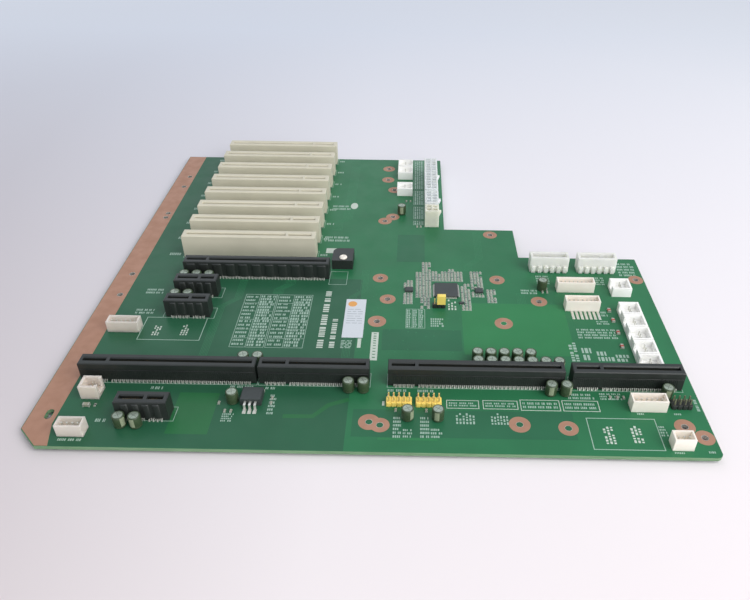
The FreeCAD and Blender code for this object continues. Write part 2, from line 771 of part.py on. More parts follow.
def capacitors():
    """The upright cans, all of one size, in the groups that serve each connector."""
    radius, pitch, bank = size("can_radius"), size("can_pitch"), size("bank_pitch")
    before_host = HOST_FRONT - size("host_can_gap") - radius
    behind_host = HOST_BACK + size("bank_host_gap") + radius
    before_slot = size("pcie_width") / 2 + size("slot_can_gap") + radius
    before_front_slot = size("pcie_width") / 2 + size("host_can_gap") + radius
    slot_left = size("pcie_left") + size("slot_can_inset")
    front_slot_left = size("pcie_left") + size("front_slot_can_inset")
    end_a, end_b, end_c = (HOST_ENDS[i] - size(f"host_gap_{gap}")
                           for i, gap in ((1, "ab"), (2, "bc"), (3, "cd")))
    places = can_row(slot_left, X16_ROW - before_slot, 3, pitch)
    places += can_row(slot_left, X16_ROW - size("slot_pitch") - before_slot, 2, pitch)
    places += can_row(front_slot_left, size("front_slot_row") - before_front_slot, 2, pitch)
    behind_a = HOST_BACK + size("host_a_can_gap") + radius
    places += can_row(end_a - size("host_a_can_inset"), behind_a, 2, pitch)
    places += can_row(end_b - size("host_b_can_inset"), before_host, 2, pitch)
    places += can_row(end_c - size("host_c_can_inset"), before_host, 2, pitch)
    places += can_row(size("bank_left"), behind_host, 7, bank)
    places += can_row(size("bank_left"), behind_host + radius * 2 + size("bank_row_gap"), 5, bank)

    beside_regulator = size("regulator_width") / 2 + size("regulator_can_gap") + radius
    places.append((size("regulator_x") - beside_regulator,
                   size("regulator_y") + size("regulator_can_offset")))
    before_header = size("pin_header_y") - size("pin_pitch") - size("header_can_gap") - radius
    for header_x in (size("first_pin_header_x"), second_header_x()):
        places.append((header_x + size("header_can_offset"), before_header))
    before_corner = HOST_FRONT - size("corner_can_gap") - radius
    places.append((BOARD_WIDTH - size("corner_can_inset"), before_corner))
    wing_x = BOARD_WIDTH - size("rear_wafer_x_inset") - wafer_length(8) / 2 - size("wing_can_gap") - radius
    places.append((wing_x, rear_wafer_row() - FRONT))
    before_tab_fan = fan_tab_row(1) - FRONT - size("tab_can_gap") - radius
    places.append((fan_tab_x() - LEFT + size("tab_can_offset"), before_tab_fan))
    cans = []
    for number, (x, y) in enumerate(places, start=1):
        can = small_round(f"can_{number}", radius, size("can_height"))
        place(can, LEFT + x, FRONT + y, TOP)
        cans.append(can)
    name_node(compound("cans", cans), "capacitors")


def build_card_slots():
    for number in range(PCI_COUNT):
        row = FIRST_PCI_ROW + size("slot_pitch") * number
        card_slot(f"pci_slot_{number + 1}", "pci", size("pci_length"), size("pci_left"), row)
    card_slot("pcie_x16_slot", "pcie", size("sixteen_lane_length"), size("pcie_left"), X16_ROW)
    for number, pitches in enumerate((5, 4, 0), start=1):
        row = size("front_slot_row") + size("slot_pitch") * pitches
        card_slot(f"pcie_x1_slot_{number}", "pcie", size("one_lane_length"), size("pcie_left"), row)


def build_host_row():
    long, short = size("sixteen_lane_length"), size("eight_lane_length")
    for letter, length, x in zip("abcd", (long, short, long, short), HOST_ENDS):
        card_slot(f"host_connector_{letter}", "pcie", length, x, size("host_row"))


def build_power_headers(power_joint):
    power_pin = pin("power_pin_model", size("power_pin"), size("power_floor"), size("power_pin_rise"))
    y = REAR - size("power_rear_gap")
    for label, columns in (("main_power", 12), ("processor_power", 4), ("aux_power", 2)):
        y = y - power_length(columns)
        power_header(label, columns, y, power_pin, power_joint)
        y = y - size("power_gap")

    row_pin = pin("row_pin_model", size("power_pin"), size("row_floor"), size("row_pin_rise"))
    right, y = RIGHT - size("row_right_gap") - ROW_LENGTH, FRONT + ROW_HEADER_FRONT
    places = row_header("row_power_header_1", right - ROW_LENGTH - size("row_gap"), y)
    places += row_header("row_power_header_2", right, y)
    pins = solder_in("row_power", row_pin, power_joint, places)
    name_node(compound("row_pin_group", pins), "row_power_pins")


def fan_tab_x():
    return POWER_LEFT - size("fan_tab_gap") - size("fan_width")


def fan_tab_row(order):
    """The front of the first, second or third fan header on the rear tab, counted from the front."""
    y = REAR - size("fan_tab_rear_gap") - size("fan_length")
    gaps = (size("fan_tab_second_gap"), size("fan_tab_first_gap"))
    for gap in gaps[:3 - order]:
        y = y - gap - size("fan_length")
    return y


def build_fan_headers():
    form = (size("fan_width"), size("fan_length"), size("fan_height"))
    places = []
    column = RIGHT - size("fan_right_gap") - size("fan_width")
    rows = [FAN_START + FAN_PITCH * number for number in range(FAN_COUNT)] + [REAR_FAN_START]
    for number, row in enumerate(rows, start=1):
        places += fan_header(f"fan_header_{number}", column, FRONT + row, *form, "left")
    for order in (1, 2, 3):
        number = FAN_COUNT + 1 + order
        places += fan_header(f"fan_header_{number}", fan_tab_x(), fan_tab_row(order), *form, "right")
    length = size("fan_host_length")
    y = FRONT + HOST_FRONT - size("fan_host_gap") - length
    form = (size("fan_host_width"), length, size("fan_host_height"))
    places += fan_header("fan_header_10", LEFT + size("fan_host_left"), y, *form, "right")
    fan_pin = pin("fan_pin_model", size("small_pin"), size("fan_floor"), size("fan_pin_rise"))
    name_node(compound("fan_pin_group", copies("fan_pin", fan_pin, places)), "fan_pins")


def rear_wafer_row():
    return FRONT + ROW_HEADER_FRONT - size("rear_wafer_gap") - size("wafer_width") / 2


def build_wafer_headers(joint):
    places = []
    for side, count in (("front_left", 4), ("left", 6)):
        x, y = LEFT + size(f"{side}_wafer_x"), FRONT + size(f"{side}_wafer_y")
        places += wafer_header(f"{side}_wafer_header", count, x, y)
    middle = rear_wafer_row() - size("wafer_width") - size("middle_wafer_gap")
    rows = {"front_right": FRONT + size("front_right_wafer_y"), "right": FRONT + size("right_wafer_y"),
            "rear": rear_wafer_row(), "middle": middle}
    for side, count in (("front_right", 3), ("right", 6), ("rear", 8), ("middle", 7)):
        x = RIGHT - size(f"{side}_wafer_x_inset")
        places += wafer_header(f"{side}_wafer_header", count, x, rows[side])
    wafer_pin = pin("wafer_pin_model", size("small_pin"), size("wafer_floor"), size("wafer_pin_rise"))
    name_node(compound("wafer_pin_group", solder_in("wafer", wafer_pin, joint, places)), "wafer_pins")


def second_header_x():
    return size("first_pin_header_x") + size("pin_pitch") * 5 + size("pin_header_gap")


def build_pin_headers():
    y = FRONT + size("pin_header_y")
    places = pin_header("pin_header_1", 5, 2, LEFT + size("first_pin_header_x"), y)
    places += pin_header("pin_header_2", 5, 2, LEFT + second_header_x(), y)
    side_x = RIGHT - size("side_pin_header_x_inset")
    places += pin_header("side_pin_header", 4, 2, side_x, FRONT + size("side_pin_header_y"))
    half_chip = size("chip_side") / 2
    x = LEFT + size("chip_x") - half_chip + size("jumper_header_inset")
    y = FRONT + size("chip_y") - half_chip - size("jumper_header_gap") - size("pin_pitch") / 2
    places += pin_header("jumper_header", 3, 1, x, y)
    jumper_cap(x + size("pin_pitch") / 2, y)
    header_pin = pin("header_pin_model", size("small_pin"), size("pin_body_height"), size("pin_rise"))
    name_node(compound("pin_group", copies("header_pin", header_pin, places)), "header_pins")


def build_soldered_parts():
    side = size("chip_side")
    name_node(chip("controller", side, side, size("chip_height"), size("chip_x"), size("chip_y")),
              "controller_chip")
    length, width, height = (size(f"small_chip_{name}") for name in ("length", "width", "height"))
    x, y, reach = size("chip_x"), size("chip_y"), (side + length) / 2
    across, along = size("transistor_length"), size("transistor_width")
    transistor_y = y - side / 2 - size("transistor_gap") - along / 2
    small = [
        chip("left_small_chip", length, width, height, x - reach - size("left_small_chip_gap"), y),
        chip("right_small_chip", length, width, height, x + reach + size("right_small_chip_gap"), y),
        chip("transistor", across, along, size("transistor_height"), x + size("transistor_offset"),
             transistor_y),
    ]
    name_node(compound("small_packages", small), "small_chips")
    regulator()
    capacitors()


build_board()
build_card_slots()
build_host_row()
retention_clip()
small_joint = solder_joint("small_joint", size("small_joint_width"))
power_joint = solder_joint("power_joint", size("power_joint_width"))
build_power_headers(power_joint)
build_fan_headers()
build_wafer_headers(small_joint)
build_pin_headers()
build_soldered_parts()
name_node(compound("joint_group", solder_joints), "solder_joints")
doc.recompute()

for item in doc.Objects:
    if "Invalid" in item.State or "Error" in item.State:
        raise RuntimeError(f"{item.Name} did not build: {item.State}")
    if item.isDerivedFrom("PartDesign::Pocket") or item.isDerivedFrom("PartDesign::LinearPattern"):
        if item.Shape.Volume > item.BaseFeature.Shape.Volume - 1e-6:
            raise RuntimeError(f"{item.Name} cuts nothing")
for node in nodes:
    if node.Shape.isNull() or not node.Shape.isValid():
        raise RuntimeError(f"{node.Label} has no valid shape")

os.makedirs("parts", exist_ok=True)
for node in nodes:
    node.Shape.exportStep(f"parts/{node.Label}.step")
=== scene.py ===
import math
import random

import bpy
from mathutils import Matrix, Vector
from mathutils.geometry import tessellate_polygon


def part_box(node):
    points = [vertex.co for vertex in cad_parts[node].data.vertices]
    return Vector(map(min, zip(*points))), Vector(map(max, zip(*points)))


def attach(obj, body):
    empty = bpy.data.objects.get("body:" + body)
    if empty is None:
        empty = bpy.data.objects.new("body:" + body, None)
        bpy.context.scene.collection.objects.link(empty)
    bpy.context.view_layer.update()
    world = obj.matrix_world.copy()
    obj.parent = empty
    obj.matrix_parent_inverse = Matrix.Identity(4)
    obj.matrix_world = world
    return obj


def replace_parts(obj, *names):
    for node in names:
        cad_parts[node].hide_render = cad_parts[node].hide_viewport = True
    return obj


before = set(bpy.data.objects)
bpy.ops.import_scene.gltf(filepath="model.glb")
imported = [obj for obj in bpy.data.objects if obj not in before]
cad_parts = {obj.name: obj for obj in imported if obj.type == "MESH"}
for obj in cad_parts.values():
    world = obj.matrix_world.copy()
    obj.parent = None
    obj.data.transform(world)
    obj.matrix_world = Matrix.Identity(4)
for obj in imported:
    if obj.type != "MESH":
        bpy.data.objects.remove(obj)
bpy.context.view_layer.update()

MM = 0.001
MICRONS = 1e6
SEED = 7
SLOTS = [f"pci_slot_{i}" for i in range(1, 9)]
BOARD_LOW, BOARD_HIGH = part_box("board")
BOARD_THICK = (BOARD_HIGH.z - BOARD_LOW.z) / MM
BOARD_WIDTH = (BOARD_HIGH.x - BOARD_LOW.x) / MM
BOARD_DEPTH = (BOARD_HIGH.y - BOARD_LOW.y) / MM
rng = random.Random(SEED)


def at(x, y, z):
    """A place in board millimetres: X and Y from the front left corner, Z above the top face."""
    return Vector((BOARD_LOW.x + x * MM, BOARD_LOW.y + y * MM, BOARD_HIGH.z + z * MM))


def on_board(box):
    """The corners of a box in metres, in board millimetres: x0, y0, z0, x1, y1, z1."""
    origin = Vector((BOARD_LOW.x, BOARD_LOW.y, BOARD_HIGH.z))
    low, high = box
    return tuple((low - origin) / MM) + tuple((high - origin) / MM)


def node_box(node):
    return on_board(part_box(node))


def solids(node):
    """The box of each separate solid in a CAD node, in board millimetres."""
    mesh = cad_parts[node].data
    places, owner = {}, []
    for vertex in mesh.vertices:
        spot = tuple(round(c * MICRONS) for c in vertex.co)
        owner.append(places.setdefault(spot, len(places)))
    parent = list(range(len(places)))

    def root(i):
        while parent[i] != i:
            parent[i] = parent[parent[i]]
            i = parent[i]
        return i

    for face in mesh.polygons:
        first = root(owner[face.vertices[0]])
        for vertex in face.vertices[1:]:
            parent[root(owner[vertex])] = first
    groups = {}
    for vertex, place in zip(mesh.vertices, owner):
        groups.setdefault(root(place), []).append(vertex.co)
    axes = [list(zip(*points)) for points in groups.values()]
    return sorted(on_board((Vector(map(min, spans)), Vector(map(max, spans)))) for spans in axes)


def add_object(name, data):
    made = bpy.data.objects.new(name, data)
    bpy.context.scene.collection.objects.link(made)
    return made


# Materials

def srgb(red, green, blue):
    """A screen colour as the linear values that a shader takes."""
    def linear(c):
        return c / 12.92 if c <= 0.04045 else ((c + 0.055) / 1.055) ** 2.4
    return tuple(linear(c / 255) for c in (red, green, blue)) + (1.0,)


def shade(colour, factor):
    return tuple(min(1.0, c * factor) for c in colour[:3]) + (1.0,)


def feed(tree, node, inputs):
    """Sets inputs of a shader node to values, or links them to outputs of other nodes."""
    for name, value in inputs.items():
        if isinstance(value, bpy.types.NodeSocket):
            tree.links.new(value, node.inputs[name])
        else:
            node.inputs[name].default_value = value


def add_node(tree, kind, inputs=None, **settings):
    made = tree.nodes.new(kind)
    for name, value in settings.items():
        setattr(made, name, value)
    feed(tree, made, inputs or {})
    return made


class Finish:
    """A procedural material round one principled shader, textured in the object's own coordinates."""

    BEVEL_SAMPLES, EDGE_COSINE = 4, 0.86

    def __init__(self, name, roughness, **sockets):
        self.material = bpy.data.materials.new(name)
        self.material.use_nodes = True
        self.tree = self.material.node_tree
        self.shader = self.tree.nodes["Principled BSDF"]
        self.spot = self.node("ShaderNodeTexCoord").outputs["Object"]
        self.set(Roughness=roughness, **sockets)

    def node(self, kind, inputs=None, **settings):
        return add_node(self.tree, kind, inputs, **settings)

    def set(self, **sockets):
        """Feeds the shader. A space in a socket's name is written as _ here."""
        feed(self.tree, self.shader, {name.replace("_", " "): value for name, value in sockets.items()})
        return self

    def noise(self, size, detail=3.0, stretch=(1, 1, 1)):
        """Noise with features of this many millimetres."""
        space = self.node("ShaderNodeMapping", {"Scale": stretch, "Vector": self.spot})
        inputs = {"Scale": 1 / (size * MM), "Detail": detail, "Vector": space.outputs["Vector"]}
        return self.node("ShaderNodeTexNoise", inputs).outputs["Fac"]

    def spread(self, value, low, high, to_low=0.0, to_high=1.0):
        inputs = {"Value": value, "From Min": low, "From Max": high, "To Min": to_low, "To Max": to_high}
        return self.node("ShaderNodeMapRange", inputs).outputs["Result"]

    def mix(self, factor, first, second):
        return self.node("ShaderNodeMix", {0: factor, 6: first, 7: second}, data_type="RGBA").outputs[2]

    def product(self, first, second):
        return self.node("ShaderNodeMath", {0: first, 1: second}, operation="MULTIPLY").outputs["Value"]

    def along(self, axis, vector=None):
        """A vector's part along one axis, or that of the object's own coordinates."""
        return self.node("ShaderNodeSeparateXYZ", {"Vector": vector or self.spot}).outputs[axis]

    def facing(self):
        return self.node("ShaderNodeNewGeometry").outputs["Normal"]

    def bump(self, height, depth, strength, over=None):
        inputs = {"Strength": strength, "Distance": depth * MM, "Height": height}
        if over is not None:
            inputs["Normal"] = over
        return self.node("ShaderNodeBump", inputs).outputs["Normal"]

    def rounded(self, radius):
        """A normal that looks as if sharp edges were rounded, and how near an edge a point is."""
        bevel = self.node("ShaderNodeBevel", {"Radius": radius * MM}, samples=self.BEVEL_SAMPLES)
        soft = bevel.outputs["Normal"]
        dot = self.node("ShaderNodeVectorMath", {0: soft, 1: self.facing()}, operation="DOT_PRODUCT")
        return soft, self.spread(dot.outputs["Value"], 1.0, self.EDGE_COSINE)


def moulded(name, colour, roughness, grain=0.35, mottle=6.0, contrast=0.06, edge=1.18, depth=0.012,
            **sockets):
    """Injection-moulded plastic: fine spark texture, faint cloudy flow marks and edges painted paler in
    patches, partly as wear and partly as painted highlight.
    """
    finish = Finish(name, roughness, **sockets)
    clouds = finish.spread(finish.noise(mottle, 2.0), 0.3, 0.7)
    body = finish.mix(clouds, shade(colour, 1 - contrast), shade(colour, 1 + contrast))
    soft, near_edge = finish.rounded(0.18)
    scuffs_and_highlights = finish.spread(finish.noise(0.9, 4.0), 0.35, 0.75)
    # Edges are painted paler in patches: partly wear, partly painted highlight.
    body = finish.mix(finish.product(near_edge, scuffs_and_highlights), body, shade(colour, edge))
    texture = finish.noise(grain, 2.0)
    normal = finish.bump(texture, depth, 0.6, over=soft)
    rough = finish.spread(texture, 0.2, 0.8, roughness - 0.06, roughness + 0.06)
    return finish.set(Base_Color=body, Normal=normal, Roughness=rough).material


def metal(name, colour, roughness, tarnish, size=2.0, metallic=1.0):
    """Plated metal with a faint grain and dull patches."""
    finish = Finish(name, roughness, Metallic=metallic)
    patches = finish.spread(finish.noise(size, 4.0), 0.35, 0.7)
    body = finish.mix(patches, colour, shade(colour, tarnish))
    grain = finish.bump(finish.noise(0.25), 0.004, 0.5)
    rough = finish.spread(patches, 0.0, 1.0, roughness - 0.05, roughness + 0.12)
    return finish.set(Base_Color=body, Roughness=rough, Normal=grain).material


def pin_plating(name, colour, other, border):
    """Two platings on one group of pins: the second one beyond a place along X, in metres."""
    finish = Finish(name, 0.4, Metallic=0.4)
    beyond = finish.spread(finish.along("X"), border, border + MM)
    patches = finish.spread(finish.noise(2.0, 4.0), 0.35, 0.7)
    first = finish.mix(patches, colour, shade(colour, 0.9))
    second = finish.mix(patches, other, shade(other, 0.8))
    rough = finish.spread(patches, 0.0, 1.0, 0.35, 0.52)
    return finish.set(Base_Color=finish.mix(beyond, first, second), Roughness=rough).material


def mask_finish(name, colour, contrast, edge_colour=None):
    """Solder mask over glass cloth: a fine weave, cloudy thickness and, on cut edges, bare laminate."""
    finish = Finish(name, 0.42, Specular_IOR_Level=0.22, Coat_Weight=0.05, Coat_Roughness=0.3)
    clouds = finish.spread(finish.noise(28.0), 0.3, 0.7)
    body = finish.mix(clouds, shade(colour, 1 - contrast), shade(colour, 1 + contrast))
    specks = finish.spread(finish.noise(0.7, 2.0), 0.62, 0.78, 0.0, 0.35)
    body = finish.mix(specks, body, shade(colour, 1.35))
    weave, waves = {"Scale": 260.0, "Distortion": 1.5, "Vector": finish.spot}, []
    for axis in ("X", "Y"):
        wave = finish.node("ShaderNodeTexWave", weave, wave_type="BANDS", bands_direction=axis)
        waves.append(wave.outputs["Fac"])
    normal = finish.bump(finish.product(*waves), 0.01, 0.35)
    rough = finish.spread(finish.noise(9.0, 4.0), 0.3, 0.7, 0.34, 0.46)
    if edge_colour:
        tilt = finish.node("ShaderNodeMath", {0: finish.along("Z", finish.facing())}, operation="ABSOLUTE")
        side = finish.spread(tilt.outputs["Value"], 0.6, 0.4)
        layers = finish.spread(finish.noise(0.35, 2.0, stretch=(0.05, 0.05, 1)), 0.35, 0.65)
        laminate = finish.mix(layers, shade(edge_colour, 0.82), shade(edge_colour, 1.1))
        body = finish.mix(side, body, laminate)
    return finish.set(Base_Color=body, Normal=normal, Roughness=rough).material


def nylon(name, colour, weight, depth):
    """Nylon that light enters to a depth in millimetres."""
    reach = depth * MM
    return moulded(name, colour, 0.44, contrast=0.02, edge=1.03, Subsurface_Weight=weight,
                   Subsurface_Scale=1.0, Subsurface_Radius=(reach, reach, reach * 0.9))


def ink(name, colour, wear):
    """Screen-printed ink: slightly uneven cover and a dry surface."""
    finish = Finish(name, 0.6)
    cover = finish.spread(finish.noise(0.5), 0.35, 0.65)
    body = finish.mix(cover, shade(colour, wear), colour)
    return finish.set(Base_Color=body, Normal=finish.bump(finish.noise(0.2), 0.006, 0.5)).material


MASK = mask_finish("solder_mask", srgb(44, 113, 75), 0.08, srgb(118, 151, 116))
DARK = mask_finish("mask_over_inner_plane", srgb(42, 95, 68), 0.07)
POUR = mask_finish("mask_over_copper", srgb(47, 124, 76), 0.06)
DEEP = mask_finish("mask_over_bare_laminate", srgb(42, 103, 72), 0.07)
THIN = mask_finish("mask_over_thin_copper", srgb(43, 107, 65), 0.06)
TRACE = mask_finish("mask_over_traces", srgb(52, 124, 84), 0.05)
COPPER = metal("bare_copper", srgb(179, 135, 112), 0.5, tarnish=0.92, size=5, metallic=0.3)
SILK = ink("silkscreen", srgb(204, 216, 206), 0.85)
FAINT = ink("faint_silkscreen", srgb(164, 192, 178), 0.85)
GREY = ink("label_grey", srgb(170, 178, 186), 0.9)
PAPER = ink("label_paper", srgb(214, 220, 228), 0.96)
SPOT = ink("label_spot", srgb(232, 168, 96), 0.92)
IVORY = moulded("ivory_plastic", srgb(213, 208, 189), 0.5, mottle=14, contrast=0.035, edge=1.1)
BLACK = moulded("black_plastic", srgb(38, 42, 40), 0.45, contrast=0.12, edge=1.35, depth=0.014)
WHITE = nylon("white_nylon", srgb(255, 243, 231), 0.4, 2.5)
BRIGHT = nylon("bright_nylon", srgb(255, 254, 251), 0.15, 1.5)
PALE = nylon("pale_nylon", srgb(236, 236, 228), 0.9, 5)
# A darker, warmer copy of the white nylon for the headers at the left: painted shade.
SHADED_NYLON = nylon("nylon_with_painted_shade", srgb(226, 212, 200), 0.9, 5)
CLEAR = nylon("natural_nylon", srgb(232, 240, 240), 0.95, 6)
CREAM = nylon("aged_nylon", srgb(232, 230, 208), 0.9, 5)
YELLOW = moulded("yellow_plastic", srgb(255, 224, 116), 0.42, contrast=0.03, edge=1.04)
CHIP = moulded("chip_plastic", srgb(55, 61, 61), 0.5, grain=0.2, contrast=0.08, edge=1.5)
SLEEVE = moulded("can_sleeve", srgb(62, 78, 54), 0.3, contrast=0.1, edge=1.2, mottle=3)
STRIPE = ink("can_stripe", srgb(150, 160, 132), 0.85)
# Also used for the scores on the can tops, where its black is painted shade.
RUBBER_AND_SCORE_SHADE = moulded("bung_rubber_and_score_shade", srgb(30, 31, 30), 0.7, contrast=0.1)
ALUMINIUM = metal("can_top", srgb(168, 181, 166), 0.42, tarnish=0.86, metallic=0.5)
TIN = metal("tinned_metal", srgb(224, 224, 216), 0.36, tarnish=0.85, metallic=0.75)
ENDS = metal("tinned_ends", srgb(186, 190, 180), 0.45, tarnish=0.85, metallic=0.4)
SOLDER = metal("solder", srgb(186, 188, 186), 0.28, tarnish=0.78, size=0.8)
GOLD = metal("gold_pin", srgb(246, 216, 138), 0.4, tarnish=0.9, metallic=0.4)
DULL_PINS_FROM = 0.1
PLATING = pin_plating("pin_plating", srgb(246, 216, 138), srgb(128, 130, 106), DULL_PINS_FROM)
CERAMIC = moulded("tan_ceramic", srgb(150, 152, 136), 0.55, mottle=1.2, contrast=0.12)
RESISTOR = moulded("dark_film", srgb(84, 90, 88), 0.4, mottle=1.2, contrast=0.12)
RED = moulded("red_film", srgb(178, 92, 80), 0.42, mottle=1.2, contrast=0.1)

NODE_FINISH = {
    "board": MASK, "retention_clip": BLACK, "side_pin_header": BLACK, "jumper_header": BLACK,
    "jumper_cap": YELLOW, "clip_rivet": WHITE, "aux_power_header": CREAM, "regulator_body": CHIP,
    # The headers at the left take a darker copy of the white nylon: painted shade.
    "regulator_leads": TIN, "header_pins": PLATING, "front_left_wafer_header": SHADED_NYLON,
    "left_wafer_header": SHADED_NYLON, "fan_header_10": SHADED_NYLON, "capacitors": SLEEVE, "solder_joints": SOLDER,
}
FAMILY_FINISH = (
    ("pci_slot", IVORY), ("pcie_", BLACK), ("host_connector", BLACK), ("fan_header", BRIGHT),
    ("row_power_header", PALE), ("power_header", CLEAR), ("wafer_header", WHITE), ("pin_header", YELLOW),
    ("chip", CHIP), ("pins", TIN),
)


def finish_for(node):
    if node in NODE_FINISH:
        return NODE_FINISH[node]
    return next(material for part, material in FAMILY_FINISH if part in node)


for name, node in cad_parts.items():
    node.data.materials.clear()
    node.data.materials.append(finish_for(name))


# Meshes drawn in board millimetres

def level(plan, z):
    """The points of a plan at one height."""
    return [(x, y, z) for x, y in plan]


def polar(x, y, radius, angle):
    return x + radius * math.cos(angle), y + radius * math.sin(angle)


def circle(x, y, radius, count=40):
    return [polar(x, y, radius, math.tau * i / count) for i in range(count)]


def row(centre, count, pitch):
    """Evenly spaced places about a centre."""
    return [centre + pitch * (i - (count - 1) / 2) for i in range(count)]


def rectangle(x0, y0, x1, y1, cut=0):
    """The corners of a rectangle, or both ends of each corner that is cut off."""
    if not cut:
        return [(x0, y0), (x1, y0), (x1, y1), (x0, y1)]
    return [(x0 + cut, y0), (x1 - cut, y0), (x1, y0 + cut), (x1, y1 - cut),
            (x1 - cut, y1), (x0 + cut, y1), (x0, y1 - cut), (x0, y0 + cut)]


def both_sides(path, half):
    """The points to the left and to the right of each point of a path."""
    left, right = [], []
    for i, (x, y) in enumerate(path):
        before, after = path[max(i - 1, 0)], path[min(i + 1, len(path) - 1)]
        along = Vector((after[0] - before[0], after[1] - before[1])).normalized()
        left.append((x - along.y * half, y + along.x * half))
        right.append((x + along.y * half, y - along.x * half))
    return left, right


def middle(box):
    """The middle of a box, seen from above."""
    x0, y0, _, x1, y1, _ = box
    return (x0 + x1) / 2, (y0 + y1) / 2


class Shape:
    def __init__(self):
        self.points, self.faces = [], []

    def add(self, points, faces):
        start = len(self.points)
        self.points += points
        self.faces += [[start + i for i in face] for face in faces]

    def skin(self, rings):
        """Joins equal rings of points and caps both ends. Faces point outwards where the rings run
        counter-clockwise, seen from the last one."""
        count = len(rings[0])
        last = (len(rings) - 1) * count
        faces = [range(count)[::-1], range(last, last + count)]
        for low in range(0, last, count):
            for i in range(count):
                j = (i + 1) % count
                faces.append((low + i, low + j, low + count + j, low + count + i))
        self.add([point for ring in rings for point in ring], faces)

    def prism(self, plan, z0, z1):
        self.skin([level(plan, z0), level(plan, z1)])

    def block(self, x0, y0, z0, x1, y1, z1, cut=0.0):
        """A block whose upright and top edges are cut back. Its sides may be given in either order."""
        (x0, x1), (y0, y1) = sorted((x0, x1)), sorted((y0, y1))

        def ring(inset, z):
            return level(rectangle(x0 + inset, y0 + inset, x1 - inset, y1 - inset, cut), z)

        rings = [ring(0, z0), ring(0, z1 - cut)]
        if cut:
            rings.append(ring(cut, z1))
        self.skin(rings)

    def lathe(self, x, y, profile, count):
        """Turns a profile of radius and height, listed upwards, round an upright axis."""
        self.skin([level(circle(x, y, radius, count), z) for radius, z in profile])

    def plate(self, outline, holes, z0, z1):
        """A flat plate with openings, whose outer face is at z1."""
        loops = [outline, *holes]
        flat = [point for loop in loops for point in loop]
        count, faces, start = len(flat), [], 0
        for tri in tessellate_polygon([[Vector(point) for point in level(loop, 0)] for loop in loops]):
            a, b, c = (Vector(flat[i]) for i in tri)
            faces.append(tri if (b - a).cross(c - a) > 0 else tri[::-1])
        faces += [tuple(count + i for i in reversed(face)) for face in faces]
        for loop in loops:
            size = len(loop)
            for i in range(size):
                j = start + (i + 1) % size
                faces.append((start + i, count + start + i, count + j, j))
            start += size
        self.add(level(flat, z1) + level(flat, z0), faces if z1 > z0 else [face[::-1] for face in faces])

    def band(self, path, width, z0, z1):
        """A flat strip of even width along a path of points."""
        left, right = both_sides(path, width / 2)
        for i in range(len(path) - 1):
            self.prism((right[i], right[i + 1], left[i + 1], left[i]), z0, z1)

    def leaf(self, profile, x0, x1, thick):
        """A bent strip, from x0 to x1, with a side view of (y, z) points. Its faces point inwards."""
        upper, lower = both_sides(profile, thick / 2)
        self.skin([[(x0, *low), (x1, *low), (x1, *high), (x0, *high)] for low, high in zip(lower, upper)])

    def piece(self, name, material, slot, smooth=35.0):
        mesh = bpy.data.meshes.new(name)
        mesh.from_pydata([at(*p) for p in self.points], [], self.faces)
        mesh.materials.append(material)
        for face in mesh.polygons:
            face.use_smooth = True
        mesh.set_sharp_from_angle(angle=math.radians(smooth))
        mesh.update()
        made = add_object(name, mesh)
        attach(made, "root")
        return made


def union_outline(discs):
    """The outline round one disc, or round two that overlap."""
    disc_count, arc_count = 56, 48
    if len(discs) == 1:
        return circle(*discs[0], disc_count)
    points = []
    for (x, y, radius), (other_x, other_y, other) in (discs, discs[::-1]):
        apart = math.hypot(other_x - x, other_y - y)
        toward = math.atan2(other_y - y, other_x - x)
        inside = math.acos((apart ** 2 + radius ** 2 - other ** 2) / (2 * apart * radius))
        arc = math.tau - 2 * inside
        for i in range(arc_count):
            points.append(polar(x, y, radius, toward + inside + arc * i / arc_count))
    return points


# Board: bare copper and plated holes

HOLE, PLATED = 1.77, 0.1
COPPER_HIGH, INSET, RING_TO_EDGE = 0.05, 0.25, 0.3
STRIP_X, STRIP_RING = 9.3, 4
LONG_HOLE_Y = (18.9, 21.9)
STRIP_HOLES = [(STRIP_X, y) for y in (119.8, 142, 213.5, 219.5, 261, 278)]
RING_GROUPS = [
    [(163.4, 18.9, 5.2), (168.7, 17, 4.7)], [(235.6, 18.9, 5.2)], [(258.6, 17, 4.8)],
    [(163.4, 98, 5.2)], [(235.6, 98, 5.2)], [(168.7, 119.8, 4.7)], [(258.6, 119.8, 4.8)],
    [(163.4, 142, 4.7)], [(235.6, 142, 4.7)], [(235.6, 196.6, 4.7)],
    [(163.4, 213.5, 4.7), (168.7, 219.5, 4.7)], [(168.7, 261, 4.7)], [(163.4, 278, 4.7)],
    [(163.4, 297.4, 4.7)], [(322, 144.6, 4.6)], [(322, 12.4, 4.7)], [(314.6, 19.3, 5)],
]


def copper_strip():
    """The bare strip along the left edge, open at its round holes and at one long hole."""
    outline = [(10.75, INSET), (16.8, INSET), (13.3, 14), (13.3, BOARD_DEPTH - INSET),
               (INSET, BOARD_DEPTH - INSET), (INSET, 10.75)]
    count, slot = 40, []
    for i in range(count):
        angle = math.tau * (i + 0.5) / count
        end = LONG_HOLE_Y[0 if math.sin(angle) < 0 else 1]
        slot.append(polar(STRIP_X, end, HOLE, angle))
    shape = Shape()
    shape.plate(outline, [slot] + [circle(x, y, HOLE) for x, y in STRIP_HOLES], 0, COPPER_HIGH)
    shape.piece("copper_strip", COPPER, "tinned_metal")


def copper_rings():
    """Bare rings round the screw holes, on both faces of the board."""
    rings = Shape()
    for group in RING_GROUPS + [[(x, y, STRIP_RING)] for x, y in STRIP_HOLES]:
        discs = [(x, y, min(r, BOARD_WIDTH - RING_TO_EDGE - x)) for x, y, r in group]
        holes = [circle(x, y, HOLE) for x, y, _ in group]
        if group[0][:2] not in STRIP_HOLES:
            rings.plate(union_outline(discs), holes, 0, COPPER_HIGH)
        rings.plate(union_outline(discs), holes, -BOARD_THICK, -BOARD_THICK - COPPER_HIGH)
    rings.piece("copper_rings", COPPER, "tinned_metal")


